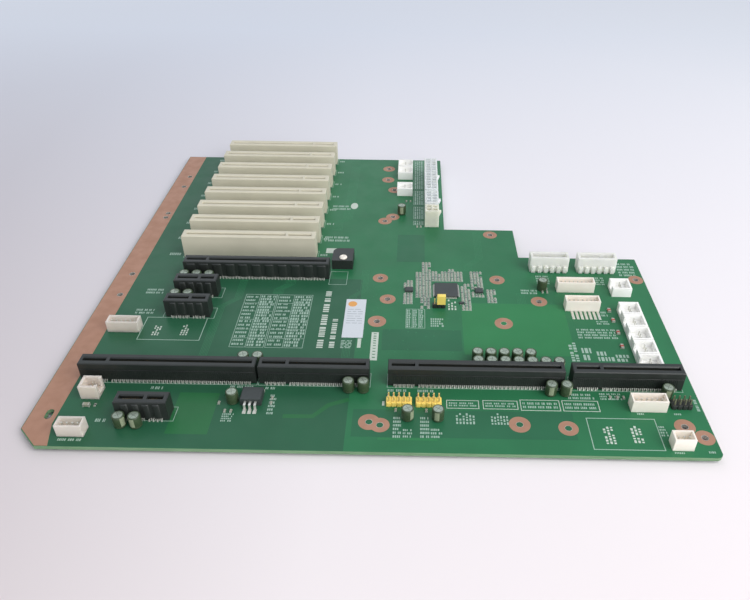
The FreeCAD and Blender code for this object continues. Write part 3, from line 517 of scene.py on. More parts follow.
def barrels():
    """The plated wall of each round screw hole."""
    walls = Shape()
    for x, y in STRIP_HOLES + [disc[:2] for group in RING_GROUPS for disc in group]:
        walls.plate(circle(x, y, HOLE), [circle(x, y, HOLE - PLATED)], -BOARD_THICK, COPPER_HIGH)
    walls.piece("hole_plating", TIN, "tinned_metal")


copper_strip()
copper_rings()
barrels()


# Contacts on each side of every edge connector

SIXTEEN, EIGHT, ONE, BUS = 82, 49, 18, 60
LANE_NODES = {
    "pcie_x16_slot": SIXTEEN, "pcie_x1_slot_1": ONE, "pcie_x1_slot_2": ONE, "pcie_x1_slot_3": ONE,
    "host_connector_a": SIXTEEN, "host_connector_b": EIGHT,
    "host_connector_c": SIXTEEN, "host_connector_d": EIGHT,
}
HOST_NODES = [node for node in LANE_NODES if node.startswith("host")]
CARD_NODES = [node for node in LANE_NODES if node.startswith("pcie")]

# The key's place from the left end, the first contact's from the key, the pitch and contacts before the key
LANE_KEY = (14.5, 1.35, 1, 11)
BUS_KEY = (66.55, 1.905, 1.27, 49)


def columns(node):
    """Where the contacts of one edge connector stand along X."""
    key, skip, pitch, before = BUS_KEY if node in SLOTS else LANE_KEY
    after = LANE_NODES.get(node, BUS) - before
    place = node_box(node)[0] + key
    return sorted(place + side * (skip + pitch * i)
                  for side, count in ((-1, before), (1, after)) for i in range(count))


# Silkscreen, with plain blocks where the real board is lettered

def mark_rows(x0, y0, x1, y1, count, ink_share, upright):
    """The span that rows of marks run along, and each row's span across it."""
    span, low, high = ((y0, y1), x0, x1) if upright else ((x0, x1), y0, y1)
    pitch = (high - low) / count
    bare = (1 - ink_share) / 2
    return span, [(low + pitch * (i + bare), low + pitch * (i + 1 - bare)) for i in range(count)]


class Print(Shape):
    """Printed ink. Marks stand in rows across a box; upright turns the rows along Y."""

    HIGH = 0.035
    LINE = 0.28

    def bar(self, x0, y0, x1, y1):
        self.prism(rectangle(x0, y0, x1, y1), 0, self.HIGH)

    def frame(self, x0, y0, x1, y1, line=LINE):
        self.bar(x0, y0, x1, y0 + line)
        self.bar(x0, y1 - line, x1, y1)
        self.bar(x0, y0 + line, x0 + line, y1 - line)
        self.bar(x1 - line, y0 + line, x1, y1 - line)

    def mark(self, along, across, upright):
        (a0, a1), (b0, b1) = along, across
        self.bar(*((b0, a0, b1, a1) if upright else (a0, b0, a1, b1)))

    def dashes(self, x0, y0, x1, y1, count, ink_share, longest, upright=False):
        """Rows of dashes of uneven length."""
        least, gap, shortest = 0.5, (0.5, 0.9), 0.35
        (place, end), rows = mark_rows(x0, y0, x1, y1, count, ink_share, upright)
        for across in rows:
            start = place
            while start < end - least:
                stop = min(end, start + rng.uniform(shortest, 1) * longest)
                self.mark((start, stop), across, upright)
                start = stop + rng.uniform(*gap)

    def words(self, x0, y0, x1, y1, count=1, ink_share=0.6, letter=0.6, upright=False):
        """Rows of small blocks in groups, where the real board has words."""
        letters, wide, between, space = (2, 6), (0.6, 1.3), 0.5, (0.8, 1.6)
        (place, end), rows = mark_rows(x0, y0, x1, y1, count, ink_share, upright)
        for across in rows:
            start = place
            while start < end - letter:
                for _ in range(rng.randint(*letters)):
                    stop = start + letter * rng.uniform(*wide)
                    if stop <= end:
                        self.mark((start, stop), across, upright)
                    start = stop + letter * between
                start += letter * rng.uniform(*space)


# Places of printed marks: x0, y0, x1, y1, and a count of rows where there is a fifth value
TABLES = ((84.2, 73, 103, 122.5), (103.6, 73, 124.2, 122.5))
BOXED_WORDS = ((200.9, 29, 217, 34.9), (218.9, 29, 236.2, 35.1), (237.4, 28.4, 257, 36),
               (258.2, 28.4, 276.3, 36))
COMBS = ((204.9, 18.6, 214.6, 26.2), (221.9, 18.6, 230.7, 26.2))
PART_FRAMES = ((41, 17, 70, 26.8), (41, 98, 70.4, 108.2), (41, 118.2, 70.4, 128.6),
               (132, 134, 143, 148.6))
LABELS = (
    (24, 121, 35, 127, 2), (24, 101, 35, 106.5, 2), (175, 8.6, 179, 23, 6),
    (188, 8.8, 192.3, 23.2, 6), (179.8, 8.9, 184.6, 15, 3), (193, 8.9, 198.6, 15.6, 3),
    (109.9, 39.8, 115.7, 42.6), (52.4, 38.4, 58.9, 41.6), (32.8, 15.2, 38, 18.6),
    (171.6, 39.6, 181.6, 42.6), (186.6, 39.6, 195.5, 42.6), (293, 105.7, 296.8, 111.4, 2),
    (288.8, 98.2, 296.8, 102.2, 2), (279, 118, 292, 121), (276, 85.2, 298, 94.6, 4),
    (92.3, 17.2, 98.2, 23.2, 4), (113.4, 22.4, 116.8, 37, 6), (40, 55, 58, 58.5),
    (262, 36.6, 275, 41.5, 2), (278, 36.6, 289, 42, 3), (18, 55.5, 30, 58.5),
    (92, 40.5, 104, 43.2), (305, 1.9, 310.8, 3.4), (20, 3, 31, 5.4),
    (260, 138, 268, 148, 4), (294, 138, 302, 147, 4), (313, 148, 324, 164, 5),
    (125, 228, 138, 236, 2), (124, 184, 141, 192, 2), (249, 127, 259, 132.4, 2),
    (301.9, 12.6, 305.2, 19.8, 4), (293.8, 26.6, 297.2, 28.4), (311.9, 26.8, 315.3, 28.6),
    (320.9, 2.4, 325.4, 4.4),
)
LARGE_LABELS = ((275.6, 66.4, 281.2, 78), (283.4, 66, 292, 75), (293.2, 66, 301, 72.4))
LEGEND_SPANS = ((208.6, 214.5), (217, 235.2), (238, 260.4), (263, 313))

# Parts that are not fitted: outline, middles of the two marks in it, and the marks' half width and depth
NOT_FITTED = (
    ((32.5, 78, 67, 98.5), ((41.3, 86.6), (56.9, 87.1)), 2.2, 4.6),
    ((268.1, 3.8, 301.4, 24.2), ((277.2, 13.3), (290.4, 14.2)), 2.7, 5.8),
)


def table(ink_on, x0, y0, x1, y1):
    """A table of settings: a sparse left column and a close-set right one."""
    rule = 0.25
    middle = x0 + (x1 - x0) * 0.46
    ink_on.frame(x0, y0, x1, y1)
    ink_on.bar(middle, y0, middle + rule, y1)
    for share in (0.16, 0.32, 0.5, 0.66, 0.82):
        y = y0 + (y1 - y0) * share
        ink_on.bar(x0, y, x1, y + rule)
    ink_on.words(x0 + 1, y0 + 1, middle - 0.8, y1 - 1, 14, 0.5, 0.7)
    ink_on.words(middle + 0.8, y0 + 0.8, x1 - 0.6, y1 - 0.8, 18, 0.72, 0.9)


def silkscreen():
    bold, faint = Print(), Print()
    for box in TABLES:
        table(faint, *box)
    # Long rows that run along the depth, and a barred strip beside them
    bold.words(131.2, 73.5, 135.4, 129.5, 1, 0.82, 1.4, upright=True)
    bold.words(137.9, 73.8, 141.5, 102.4, 1, 0.82, 1.2, upright=True)
    bold.bar(153.6, 74.2, 155.6, 82.2)
    bold.bar(161, 64, 162.2, 88)
    bold.bar(163.8, 64, 165, 88)
    bold.dashes(162.2, 64, 163.8, 88, 1, 1, 2.2, upright=True)
    for box, marks, wide, deep in NOT_FITTED:
        faint.frame(*box, line=0.4)
        for x, y in marks:
            bold.words(x - wide, y - deep, x + wide, y + deep, 3, 0.6, 1.3, upright=True)
    for x0, y0, x1, y1 in BOXED_WORDS:
        bold.frame(x0, y0, x1, y1, line=0.35)
        faint.words(x0 + 1.2, y0 + 1.3, x1 - 1.2, y1 - 1.3, 2)
    for box in COMBS:
        faint.words(*box, 6, 0.55, 1.5, upright=True)
    bold.bar(169.2, 30.2, 170.4, 33.2)
    for box in PART_FRAMES:
        faint.frame(*box)
    for place in LABELS:
        faint.words(*place)
    faint.words(323.9, 30, 325.7, 39, 1, 0.8, 0.8, upright=True)
    # Larger marks behind the last host connector
    faint.words(268.8, 66, 273.4, 82, 2, 0.75, 1.5, upright=True)
    for box in LARGE_LABELS:
        faint.words(*box, 2, 0.75, 1.4)
    # Two blocks of settings and some upright marks in front of the small parts
    faint.frame(179.8, 92.2, 190.8, 110.4)
    for x in (183.3, 187):
        faint.bar(x, 92.5, x + 0.3, 110.1)
        faint.words(x - 3, 92.8, x - 0.3, 109.8, 10, 0.74, 0.8)
    faint.words(187.6, 92.8, 190.3, 109.8, 10, 0.74, 0.8)
    faint.words(194, 93.6, 201.6, 102, 4, 0.72, 0.9)
    bold.words(204, 110, 209.6, 121, 3, 0.5, 1.6, upright=True)
    # Legend beside the power headers
    for y0, y1 in LEGEND_SPANS:
        faint.frame(183.2, y0, 190.6, y1)
        faint.dashes(183.8, y0 + 0.6, 190.2, y1 - 0.6, 4, 0.62, 7, upright=True)
    # A frame and part marks round each ivory slot
    for node in SLOTS:
        x0, y0, _, x1, y1, _ = node_box(node)
        faint.frame(x0 - 0.9, y0 - 0.9, x1 + 0.9, y1 + 0.9)
        faint.words(x0 - 10.5, y0 + 1, x0 - 2.5, y1 - 3, letter=0.8)
        faint.words(x1 + 2, y0 + 3, x1 + 7, y1 - 2, letter=0.8)
    # A white oval and a white block behind the long black slot
    oval = [(140.4 + dx * 2.6, 234.8 + dy * 4.6) for dx, dy in circle(0, 0, 1, 24)]
    bold.plate(oval, [], 0, Print.HIGH)
    bold.bar(126.5, 170, 133, 176)
    for node in HOST_NODES:
        x0, y0, _, x1, y1, _ = node_box(node)
        faint.frame(x0 - 0.5, y0 - 1.5, x1 + 0.5, y1 + 1)
    bold.piece("silkscreen", SILK, "solder_mask")
    faint.piece("small_silkscreen", FAINT, "solder_mask")


def label():
    """A blank paper label with a round spot and plain grey lines."""
    x0, y0, x1, y1 = 144.5, 82.8, 156.2, 119
    high, line_high, spot_high = 0.12, 0.02, 0.03
    paper = Shape()
    paper.block(x0, y0, 0, x1, y1, high, 0.03)
    paper.piece("paper_label", PAPER, "white_nylon")
    spot = Shape()
    spot.plate(circle(148.4, 114.2, 2.6, 32), [], high, high + spot_high)
    spot.piece("label_spot", SPOT, "yellow_plastic")
    lines = Print()
    lines.HIGH = high + line_high
    lines.dashes(x0 + 1.4, y0 + 12, x1 - 1.4, y1 - 9, 7, 0.22, 6)
    lines.piece("label_lines", GREY, "solder_mask")
    code = Print()
    code.dashes(144.6, 73.5, 150.5, 80.6, 6, 0.55, 3)
    code.piece("label_marks", FAINT, "solder_mask")


silkscreen()
label()


# Card-edge connectors: spring contacts, tails and moulded ribs

def contacts():
    """Sprung contacts that bow into each card opening from both walls."""
    springs = Shape()
    thick, sunk, bow, knee = 0.16, 0.06, 0.5, 1.6
    for nodes, half_opening, drop, reach, width in ((LANE_NODES, 0.95, 2.3, 7.4, 0.5),
                                                    (SLOTS, 1, 2.5, 7.9, 0.62)):
        for node in nodes:
            box = node_box(node)
            y, z1 = middle(box)[1], box[-1]
            for x in columns(node):
                for side in (-1, 1):
                    wall = y + side * (half_opening - sunk)
                    profile = [(wall, z1 - drop), (wall - side * bow, z1 - drop - knee), (wall, z1 - reach)]
                    springs.leaf(profile, x - width / 2, x + width / 2, thick)
    springs.piece("spring_contacts", GOLD, "gold_pin")


def tails():
    """Ends of the contact tails, in two rows along the foot of each lane connector."""
    feet = Shape()
    thick, top, knee, knee_share = 0.2, 1.1, 0.9, 0.7
    outer, inner = (1.3, 0.34), (0.7, 0.24)
    for node in LANE_NODES:
        _, y0, _, _, y1, _ = node_box(node)
        for i, x in enumerate(columns(node)):
            reach, half = outer if i % 2 else inner
            for wall, side in ((y0, -1), (y1, 1)):
                profile = [(wall + side * 0.02, top), (wall + side * reach * knee_share, knee),
                           (wall + side * reach, 0)]
                feet.leaf(profile, x - half, x + half, thick)
    feet.piece("contact_tails", ENDS, "tinned_metal")


def rib(shape, x, wall, side, width, out, z0, z1):
    """A half-round upright rib, drawn in at its top. On a wall that faces -Y its faces point inwards."""
    steps, taper, top_width, top_out = 6, 0.5, 0.8, 0.3
    arc = [math.pi * i / steps for i in range(steps + 1)]
    plan = [(x - side * width / 2 * math.cos(a), wall + side * out * math.sin(a)) for a in arc][::-side]
    top = [(x + (px - x) * top_width, wall + (py - wall) * top_out, z1) for px, py in plan]
    shape.skin([level(plan, z0), level(plan, z1 - taper), top])


def ribs():
    """Moulded ribs: broad ones on the card slots, a bead and fine ones on the host connectors."""
    broad = Shape()
    out, foot, below_top, rib_share = 0.7, 1.4, 1.2, 0.72
    for node in CARD_NODES:
        x0, y0, _, x1, y1, z1 = node_box(node)
        pitch = 5 if LANE_NODES[node] == ONE else 8
        for x in row((x0 + x1) / 2, int((x1 - x0) // pitch), pitch):
            for wall, side in ((y0, -1), (y1, 1)):
                rib(broad, x, wall, side, pitch * rib_share, out, foot, z1 - below_top)
    broad.piece("slot_ribs", BLACK, "black_plastic")
    fine = Shape()
    bead_out, bead_high, bead_end, bead_share = 0.3, 0.5, 0.6, 0.62
    fine_out, fine_half, fine_foot, fine_share = 0.16, 0.28, 1.3, 0.58
    for node in HOST_NODES:
        x0, y0, _, x1, y1, z1 = node_box(node)
        for wall, side in ((y0, -1), (y1, 1)):
            face, low, high = wall + side * bead_out, z1 * bead_share, z1 * bead_share + bead_high
            fine.block(x0 + bead_end, wall, low, x1 - bead_end, face, high, 0.1)
            face, high = wall + side * fine_out, z1 * fine_share
            for x in columns(node):
                fine.block(x - fine_half, wall, fine_foot, x + fine_half, face, high, 0.05)
    fine.piece("host_ribs", BLACK, "black_plastic")


contacts()
tails()
ribs()


# Capacitors

# Half section of a sleeve: how far inside the can's radius, with height above the board or below the top
SLEEVE_FOOT = ((0.35, 0.35), (0.12, 0.5), (0.05, 0.9), (0.16, 1.15), (0.02, 1.45))
SLEEVE_CROWN = ((0.02, 0.5), (0.12, 0.2), (0.35, 0.02), (0.62, 0.02), (0.72, 0.14))


def capacitors():
    """Upright cans: a shrunk sleeve with a pale stripe, a scored metal top and a rubber bung below. The
    scores are thin black strips: painted shade in the grooves.
    """
    sleeves, tops, stripes, bungs_and_score_shade = Shape(), Shape(), Shape(), Shape()
    stripe_turns, stripe_steps, stripe_step, stripe_thick = (-2, -1.2, 0.4, 1.9), 5, 0.16, 0.1
    stripe_foot, stripe_below = 1.5, 0.55
    for can in solids("capacitors"):
        (x, y), radius, z1 = middle(can), (can[4] - can[1]) / 2, can[5]
        sleeve = [(radius - inside, z) for inside, z in SLEEVE_FOOT]
        sleeve += [(radius - inside, z1 - below) for inside, below in SLEEVE_CROWN]
        sleeves.lathe(x, y, sleeve, 32)
        top = radius - 0.66
        tops.lathe(x, y, [(top, z1 - 0.5), (top, z1 - 0.16), (top - 0.2, z1 - 0.1)], 28)
        bungs_and_score_shade.lathe(x, y, [(radius - 0.5, 0), (radius - 0.4, 0.1), (radius - 0.4, 0.45)], 24)
        turn = rng.choice(stripe_turns) + rng.uniform(-0.2, 0.2)
        inner = radius - stripe_thick
        for step in range(stripe_steps):
            low, high = turn + stripe_step * step, turn + stripe_step * (step + 1)
            ends = ((inner, low), (radius, low), (radius, high), (inner, high))
            stripes.prism([polar(x, y, *end) for end in ends], stripe_foot, z1 - stripe_below)
        # The scores on the top are drawn as thin black strips: painted shade in the grooves.
        score = top - 0.45
        for a in (turn, turn + math.tau / 4):
            bungs_and_score_shade.band([polar(x, y, -score, a), polar(x, y, score, a)], 0.14, z1 - 0.12, z1 - 0.085)
    sleeves = sleeves.piece("can_sleeves", SLEEVE, "can_sleeve")
    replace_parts(sleeves, "capacitors")
    tops.piece("can_tops", ALUMINIUM, "tinned_metal")
    stripes.piece("can_stripes", STRIPE, "can_sleeve")
    bungs_and_score_shade.piece("can_bungs", RUBBER_AND_SCORE_SHADE, "black_plastic")


capacitors()


# Pin headers and the clip's rivet

def header_bars():
    """Header insulators: one cell per column, with a notch between neighbours."""
    yellow, black = Shape(), Shape()
    cut, lip_high, lip_width, lip_depth = 0.5, 0.2, 0.93, 0.96
    for node, shape, columns in (("pin_header_1", yellow, 5), ("pin_header_2", yellow, 5),
                                 ("side_pin_header", black, 4), ("jumper_header", black, 3)):
        x0, y0, _, x1, y1, z1 = node_box(node)
        pitch = (x1 - x0) / columns
        for i in range(columns):
            left, right = x0 + pitch * i, x0 + pitch * (i + 1)
            plan = rectangle(left, y0, right, y1, cut)
            mid_x, mid_y = (left + right) / 2, (y0 + y1) / 2
            lip = [(mid_x + (px - mid_x) * lip_width, mid_y + (py - mid_y) * lip_depth) for px, py in plan]
            shape.skin([level(plan, 0), level(plan, z1 - lip_high), level(lip, z1)])
    yellow = yellow.piece("yellow_header_bars", YELLOW, "yellow_plastic")
    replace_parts(yellow, "pin_header_1", "pin_header_2")
    black = black.piece("black_header_bars", BLACK, "black_plastic")
    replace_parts(black, "side_pin_header", "jumper_header")


def rivet():
    """The push rivet: a domed head with a dimple, over a plain shank."""
    box = node_box("clip_rivet")
    x0, _, z0, x1, _, z1 = box
    radius, shank, base = (x1 - x0) / 2, 1.3, z1 - 1.2
    profile = [(shank, z0), (shank, base), (radius, base), (radius, base + 0.35),
               (radius - 0.3, base + 0.8), (radius - 0.9, z1 - 0.06), (1, z1), (0.8, z1 - 0.25),
               (0.3, z1 - 0.35)]
    shape = Shape()
    shape.lathe(*middle(box), profile, 32)
    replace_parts(shape.piece("rivet", WHITE, "white_nylon"), "clip_rivet")


header_bars()
rivet()


# Small soldered parts

# Fields of close-set parts: x0, y0, x1, y1
PASSIVE_FIELDS = (
    (178.8, 116.4, 184.6, 139), (186.1, 123, 194.2, 148.8), (190, 151, 194, 161),
    (196, 140.6, 215, 149.4), (213.4, 110.8, 217.4, 137), (219.8, 124.4, 226.4, 151),
    (228.8, 118.8, 233.4, 132.4), (189, 112, 193.5, 120.6), (206.5, 151.6, 209, 152),
)

# Boxes that the fields leave free: the controller with its leads, and a copper ring
FREE_BOXES = [(195, 120.6, 212.3, 137.8), (230.4, 137, 241, 147)]

# Single parts: x and y
RED_PARTS = ((298.3, 111.7), (298.6, 102.1), (298.9, 91), (298.3, 78.7))
FILM_ROWS = (172, 186.8)
CERAMIC_PARTS = (
    (93, 24.5), (96, 24.5), (114.6, 30.5), (114.6, 34), (89, 30), (176, 27), (191, 27),
    (300, 38), (286.6, 38.6), (289.8, 38.6), (283, 38.6), (262, 133), (264.8, 133),
    (262, 129.5), (264.8, 129.5), (186, 206), (188.4, 206), (178, 243), (181, 243),
)


class Passives:
    """Chip resistors and capacitors: a body between two tinned ends."""

    END_SHARE, BODY_HIGH, FOOT, CUT = 0.24, 0.96, 0.03, 0.06
    PAD, PAD_PLACE, PAD_WIDTH, PAD_HIGH = 0.35, 0.42, 0.6, 0.06
    KINDS = {"ceramic": CERAMIC, "film": RESISTOR, "red": RED}

    def __init__(self):
        self.bodies = {kind: Shape() for kind in self.KINDS}
        self.ends, self.outlines = Shape(), Print()

    def put(self, kind, x, y, length, width, height, along_x=False):
        def block(shape, low, high, half, z0, z1, cut=0):
            x0, y0, x1, y1 = (low, -half, high, half) if along_x else (-half, low, half, high)
            shape.block(x + x0, y + y0, z0, x + x1, y + y1, z1, cut)

        half, tip, inner = width / 2, length / 2, length * (0.5 - self.END_SHARE)
        block(self.bodies[kind], -inner, inner, half, self.FOOT, height * self.BODY_HIGH, self.CUT)
        for side in (-1, 1):
            block(self.ends, side * inner, side * tip, half, self.FOOT, height, self.CUT)
            pad = side * length * self.PAD_PLACE
            block(self.ends, pad - self.PAD, pad + self.PAD, width * self.PAD_WIDTH, 0, self.PAD_HIGH)

    def field(self, x0, y0, x1, y1, keep_off):
        """Outlined parts on a close grid, some places left empty."""
        pitch_x, pitch_y, share, jitter = 1.95, 2.75, 0.94, 0.06
        room_x, room_y, half_x, half_y, line = 1, 1.4, 0.88, 1.28, 0.26
        x = x0
        while x <= x1:
            y = y0
            while y <= y1:
                px, py = x + rng.uniform(-jitter, jitter), y + rng.uniform(-jitter, jitter)
                taken = any(a - room_x < px < c + room_x and b - room_y < py < d + room_y
                            for a, b, c, d in keep_off)
                if not taken and rng.random() < share:
                    kind = rng.choice(("ceramic", "ceramic", "ceramic", "film"))
                    self.put(kind, px, py, 1.9, 1.1, 0.6)
                    self.outlines.frame(px - half_x, py - half_y, px + half_x, py + half_y, line=line)
                y += pitch_y
            x += pitch_x

    def finish(self):
        for kind, material in self.KINDS.items():
            self.bodies[kind].piece(f"{kind}_passives", material, "chip_plastic")
        self.ends.piece("passive_ends", ENDS, "tinned_metal")
        self.outlines.piece("part_outlines", FAINT, "solder_mask")


def passives():
    parts = Passives()
    chips = [node_box("controller_chip"), node_box("jumper_header")] + solids("small_chips")
    keep_off = [(x0, y0, x1, y1) for x0, y0, _, x1, y1, _ in chips] + FREE_BOXES
    for field in PASSIVE_FIELDS:
        parts.field(*field, keep_off)
    for x, y in RED_PARTS:
        parts.put("red", x, y, 3.2, 1.7, 1.1)
    parts.put("ceramic", 25, 26.6, 3.4, 1.8, 1.5, along_x=True)
    parts.put("film", 29, 27, 1.6, 0.9, 0.6)
    for x0 in FILM_ROWS:
        for i in range(4):
            parts.put("film", x0 + 2.6 * i, 37.6, 1.6, 0.9, 0.55)
    for x, y in CERAMIC_PARTS:
        parts.put("ceramic", x, y, 1.8, 1, 0.7)
    parts.finish()


# A gull-wing lead in three blocks: from and to, outward from the body's wall, then low and high
GULL_WING = ((-0.1, 0.4, 0.6, 0.75), (0.25, 0.45, 0.1, 0.75), (0.25, 1, 0.02, 0.16))


def chip_leads():
    """Leads of the controller, the small packages and a wafer header, and the regulator's pads."""
    leads = Shape()
    x0, y0, _, x1, y1, _ = node_box("controller_chip")
    count, pitch, half = 25, 0.5, 0.14
    for x, y in zip(row((x0 + x1) / 2, count, pitch), row((y0 + y1) / 2, count, pitch)):
        for near, far, low, high in GULL_WING:
            for wall, side in ((y0, -1), (y1, 1)):
                leads.block(x - half, wall + side * near, low, x + half, wall + side * far, high)
            for wall, side in ((x0, -1), (x1, 1)):
                leads.block(wall + side * near, y - half, low, wall + side * far, y + half, high)
    wide_package, pitch, half = 4, 1.27, 0.2
    for x0, y0, _, x1, y1, _ in solids("small_chips"):
        count = 4 if x1 - x0 > wide_package else 2
        for x in row((x0 + x1) / 2, count, pitch):
            for wall, side in ((y0, -1), (y1, 1)):
                leads.block(x - half, wall - side * 0.1, 0.02, x + half, wall + side * 0.9, 0.2, 0.04)
    centre, count, pitch, half, front = 283.9, 7, 2.5, 0.75, 103
    wall = node_box("middle_wafer_header")[1]
    for x in row(centre, count, pitch):
        leads.block(x - half, front, 0, x + half, wall, 0.3, 0.06)
    narrow = 2
    for x0, y0, _, x1, _, _ in solids("regulator_leads"):
        if x1 - x0 < narrow:
            leads.block(x0 - 0.35, y0 - 0.7, 0, x1 + 0.35, y0 + 2.4, 0.06)
    leads.piece("chip_leads", TIN, "tinned_metal")


passives()
chip_leads()


# Copper under the mask: pours, traces and vias

PLANE_HIGH, TRACE_HIGH, BARE_HIGH, POUR_HIGH, VIA_HIGH = 0.006, 0.012, 0.015, 0.02, 0.026
BACK = BOARD_DEPTH - INSET
INNER_PLANE = [(17, INSET), (152.6, INSET), (152.6, 140), (121, 140), (121, BACK), (13.4, BACK), (13.4, 14)]
POUR_AREAS = ((212, 70, 272, 117), (168, 7.6, 196, 9))
BARE_AREAS = ((167, 72.8, 211, 91), (173, 161, 191, 195), (155.3, 9.4, 262, 27.5))
THIN_AREAS = ((68, 9, 88, 37),)
THIN_ROUTE = ((121.6, 21.8), (136, 22), (143, 30), (152.6, 34))

# Neighbouring traces with one slanted run: start, where the first bend is along Y, end, count and pitch
BUNDLES = (
    ((70, 60), 110, (78, 137), 6, 0.8), ((100, 124), 128, (106, 137.5), 8, 0.8),
    ((146, 54.5), 122, (152, 150), 6, 0.8), ((216, 152), 158, (224, 199), 6, 0.9),
    ((240, 54.5), 60, (246, 128), 6, 0.9), ((128, 200), 210, (134, 300), 8, 0.9),
)


def pours():
    """Copper areas and bare laminate that show through the mask as lighter and darker green."""
    light, deep, dark, thin = Shape(), Shape(), Shape(), Shape()
    dark.plate(INNER_PLANE, [], 0, PLANE_HIGH)
    for shape, areas, high in ((light, POUR_AREAS, POUR_HIGH), (deep, BARE_AREAS, BARE_HIGH),
                               (thin, THIN_AREAS, POUR_HIGH)):
        for area in areas:
            shape.plate(rectangle(*area), [], 0, high)
    thin.band(THIN_ROUTE, 2.6, 0, POUR_HIGH)
    light.piece("copper_pours", POUR, "solder_mask")
    deep.piece("bare_laminate", DEEP, "solder_mask")
    dark.piece("inner_plane", DARK, "solder_mask")
    thin.piece("thin_copper", THIN, "solder_mask")


def via(shape, x, y, radius, hole):
    shape.plate(circle(x, y, radius, 12), [circle(x, y, hole, 12)], 0, VIA_HIGH)


def traces():
    """Bundles that end in vias, traces from each ivory slot to the next, and scattered vias."""
    lines, dots = Shape(), Shape()
    for (x0, y0), bend, (x1, y1), count, pitch in BUNDLES:
        for i in range(count):
            near, far = x0 + pitch * i, x1 + pitch * i
            lines.band([(near, y0), (near, bend), (far, bend + x1 - x0), (far, y1)], 0.22, 0, TRACE_HIGH)
            via(dots, near, y0, 0.42, 0.18)
            via(dots, far, y1, 0.42, 0.18)
    count, first, pitch = 28, 4, 2.8
    for node in SLOTS[:-1]:
        x0, _, _, _, y1, _ = node_box(node)
        for x in (x0 + first + pitch * i for i in range(count)):
            lines.band([(x, y1 + 1.4), (x, y1 + 10.2)], 0.2, 0, TRACE_HIGH)
    scattered = 170
    for _ in range(scattered):
        via(dots, rng.uniform(150, 300), rng.uniform(56, 150), 0.4, 0.17)
    lines.piece("copper_traces", TRACE, "solder_mask")
    dots.piece("vias", TRACE, "solder_mask")


pours()
traces()


# Underside: joints of the contacts, cans and small pins, beside those of the CAD part

def underside():
    joints = Shape()

    def joint(x, y, radius, drop):
        z = -BOARD_THICK
        rings = [(0.16, z - drop), (0.24, z - drop * 0.75), (radius * 0.5, z - drop * 0.42), (radius, z)]
        joints.lathe(x, y, rings, 7)

    for nodes, outer, inner, radius, drop in ((LANE_NODES, 3.25, 1.25, 0.5, 1),
                                              (SLOTS, 3.81, 1.27, 0.62, 1.1)):
        for node in nodes:
            y = middle(node_box(node))[1]
            for i, x in enumerate(columns(node)):
                for side in (-1, 1):
                    joint(x, y + side * (inner if i % 2 else outer), radius, drop)
    for pin in solids("fan_pins") + solids("header_pins"):
        joint(*middle(pin), 0.85, 1.3)
    half_pitch = 1.25
    for x, y in map(middle, solids("capacitors")):
        joint(x - half_pitch, y, 0.8, 1.2)
        joint(x + half_pitch, y, 0.8, 1.2)
    joints.piece("through_joints", SOLDER, "tinned_metal", smooth=60)


underside()


# Stage, light and camera

BACKDROP = srgb(215, 221, 233)


def seen_rays(tree):
    """One for rays that show a surface, straight, by gloss or through glass, and zero for its light."""
    rays = add_node(tree, "ShaderNodeLightPath")
    shown = rays.outputs["Is Camera Ray"]
    for kind in ("Is Glossy Ray", "Is Transmission Ray"):
        most = add_node(tree, "ShaderNodeMath", {0: shown, 1: rays.outputs[kind]}, operation="MAXIMUM")
        shown = most.outputs["Value"]
    return shown


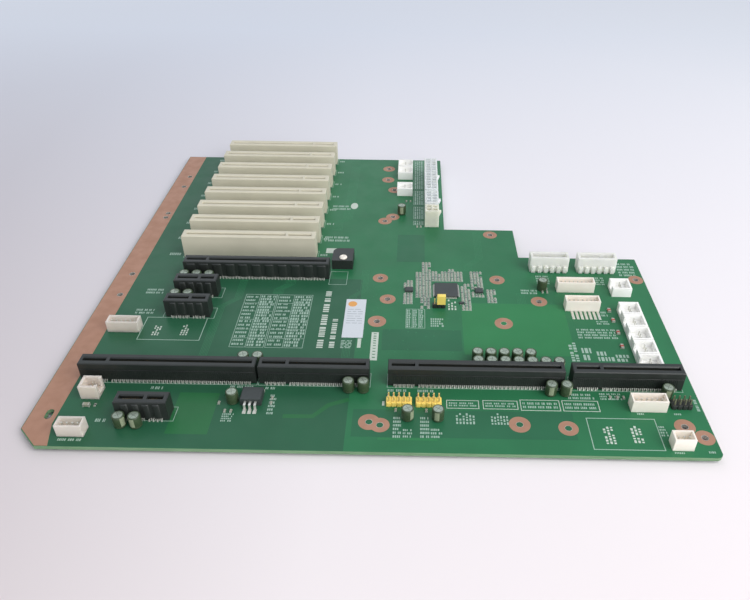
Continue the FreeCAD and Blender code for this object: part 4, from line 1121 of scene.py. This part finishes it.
def floor():
    """A wide pale floor that fades into the backdrop's colour away from the part, painted darker towards
    the left as painted shade.
    """
    half, sunk, fade = 12.0, 0.0002, (0.5, 1.2)
    steps = (-half, -2.0, -0.6, 0.6, 2.0, half)
    points = [(x, y, -sunk) for y in steps for x in (-half, half)]
    faces = [(2 * i, 2 * i + 1, 2 * i + 3, 2 * i + 2) for i in range(len(steps) - 1)]
    mesh = bpy.data.meshes.new("floor")
    mesh.from_pydata(points, [], faces)
    sheet = add_object("floor", mesh)
    finish = Finish("floor_paper_with_painted_shade", 0.85)
    depth = finish.spread(finish.along("Y"), -0.28, 0.55)
    # Painted shade: the floor is darker towards the left, strongly near the part and slightly far from it.
    side = finish.spread(finish.along("X"), -0.30, -0.02)
    far_shade_to_left = finish.spread(finish.along("X"), -0.2, 0.9)
    near = finish.mix(side, srgb(194, 181, 184), srgb(242, 234, 237))
    far = finish.mix(far_shade_to_left, srgb(231, 237, 251), srgb(241, 243, 250))
    grain = finish.bump(finish.noise(0.4), 0.01, 0.2)
    finish.set(Base_Color=finish.mix(depth, near, far), Normal=grain)
    reach = finish.node("ShaderNodeVectorMath", {0: finish.spot}, operation="LENGTH")
    faded = finish.product(finish.spread(reach.outputs["Value"], *fade), seen_rays(finish.tree))
    glow = finish.node("ShaderNodeEmission", {"Color": BACKDROP})
    shaders = {1: finish.shader.outputs["BSDF"], 2: glow.outputs["Emission"]}
    either = finish.node("ShaderNodeMixShader", {"Fac": faded, **shaders})
    feed(finish.tree, finish.tree.nodes["Material Output"], {"Surface": either.outputs["Shader"]})
    mesh.materials.append(finish.material)


def lamp(name, place, aim, size, power, colour):
    light = bpy.data.lights.new(name, "AREA")
    light.shape, light.size, light.energy, light.color = "SQUARE", size, power, colour
    made = add_object(name, light)
    made.location = place
    made.rotation_euler = (Vector(aim) - Vector(place)).to_track_quat("-Z", "Y").to_euler()


def studio():
    world = bpy.data.worlds.new("studio")
    bpy.context.scene.world = world
    world.use_nodes = True
    tree = world.node_tree
    sky = tree.nodes["Background"]
    feed(tree, sky, {"Color": (0.95, 0.97, 1.0, 1.0), "Strength": 0.52})
    seen = add_node(tree, "ShaderNodeBackground", {"Color": BACKDROP})
    shaders = {1: sky.outputs["Background"], 2: seen.outputs["Background"]}
    either = add_node(tree, "ShaderNodeMixShader", {"Fac": seen_rays(tree), **shaders})
    feed(tree, tree.nodes["World Output"], {"Surface": either.outputs["Shader"]})
    lamp("key", (0.85, -0.5, 0.95), (0.1, 0, 0), 1, 9.6, (1, 0.99, 0.97))
    lamp("front", (0.8, -1.2, 0.5), (0.1, 0, 0), 1.2, 10.6, (1, 0.99, 0.98))
    lamp("back", (-0.4, 1.6, 1.4), (0, 0, 0), 1.4, 3.5, (0.93, 0.96, 1))


def camera():
    """The camera that was fitted to the photo."""
    lens = bpy.data.cameras.new("photo_view")
    lens.sensor_width, lens.lens, lens.shift_x = 36.0, 33.99, -0.0435
    lens.clip_start, lens.clip_end = 0.01, 30.0
    right = Vector((0.99984557, 0.01384176, 0.01082825))
    up = Vector((-0.01687949, 0.58488101, 0.81094345))
    eye = Vector((0.01913, -0.37897, 0.24946))
    pose = Matrix((right, up, right.cross(up))).transposed().to_4x4()
    pose.translation = eye
    made = add_object("photo_view", lens)
    made.matrix_world = pose
    bpy.context.scene.camera = made


floor()
studio()
camera()
bpy.context.scene.view_settings.view_transform = "Standard"
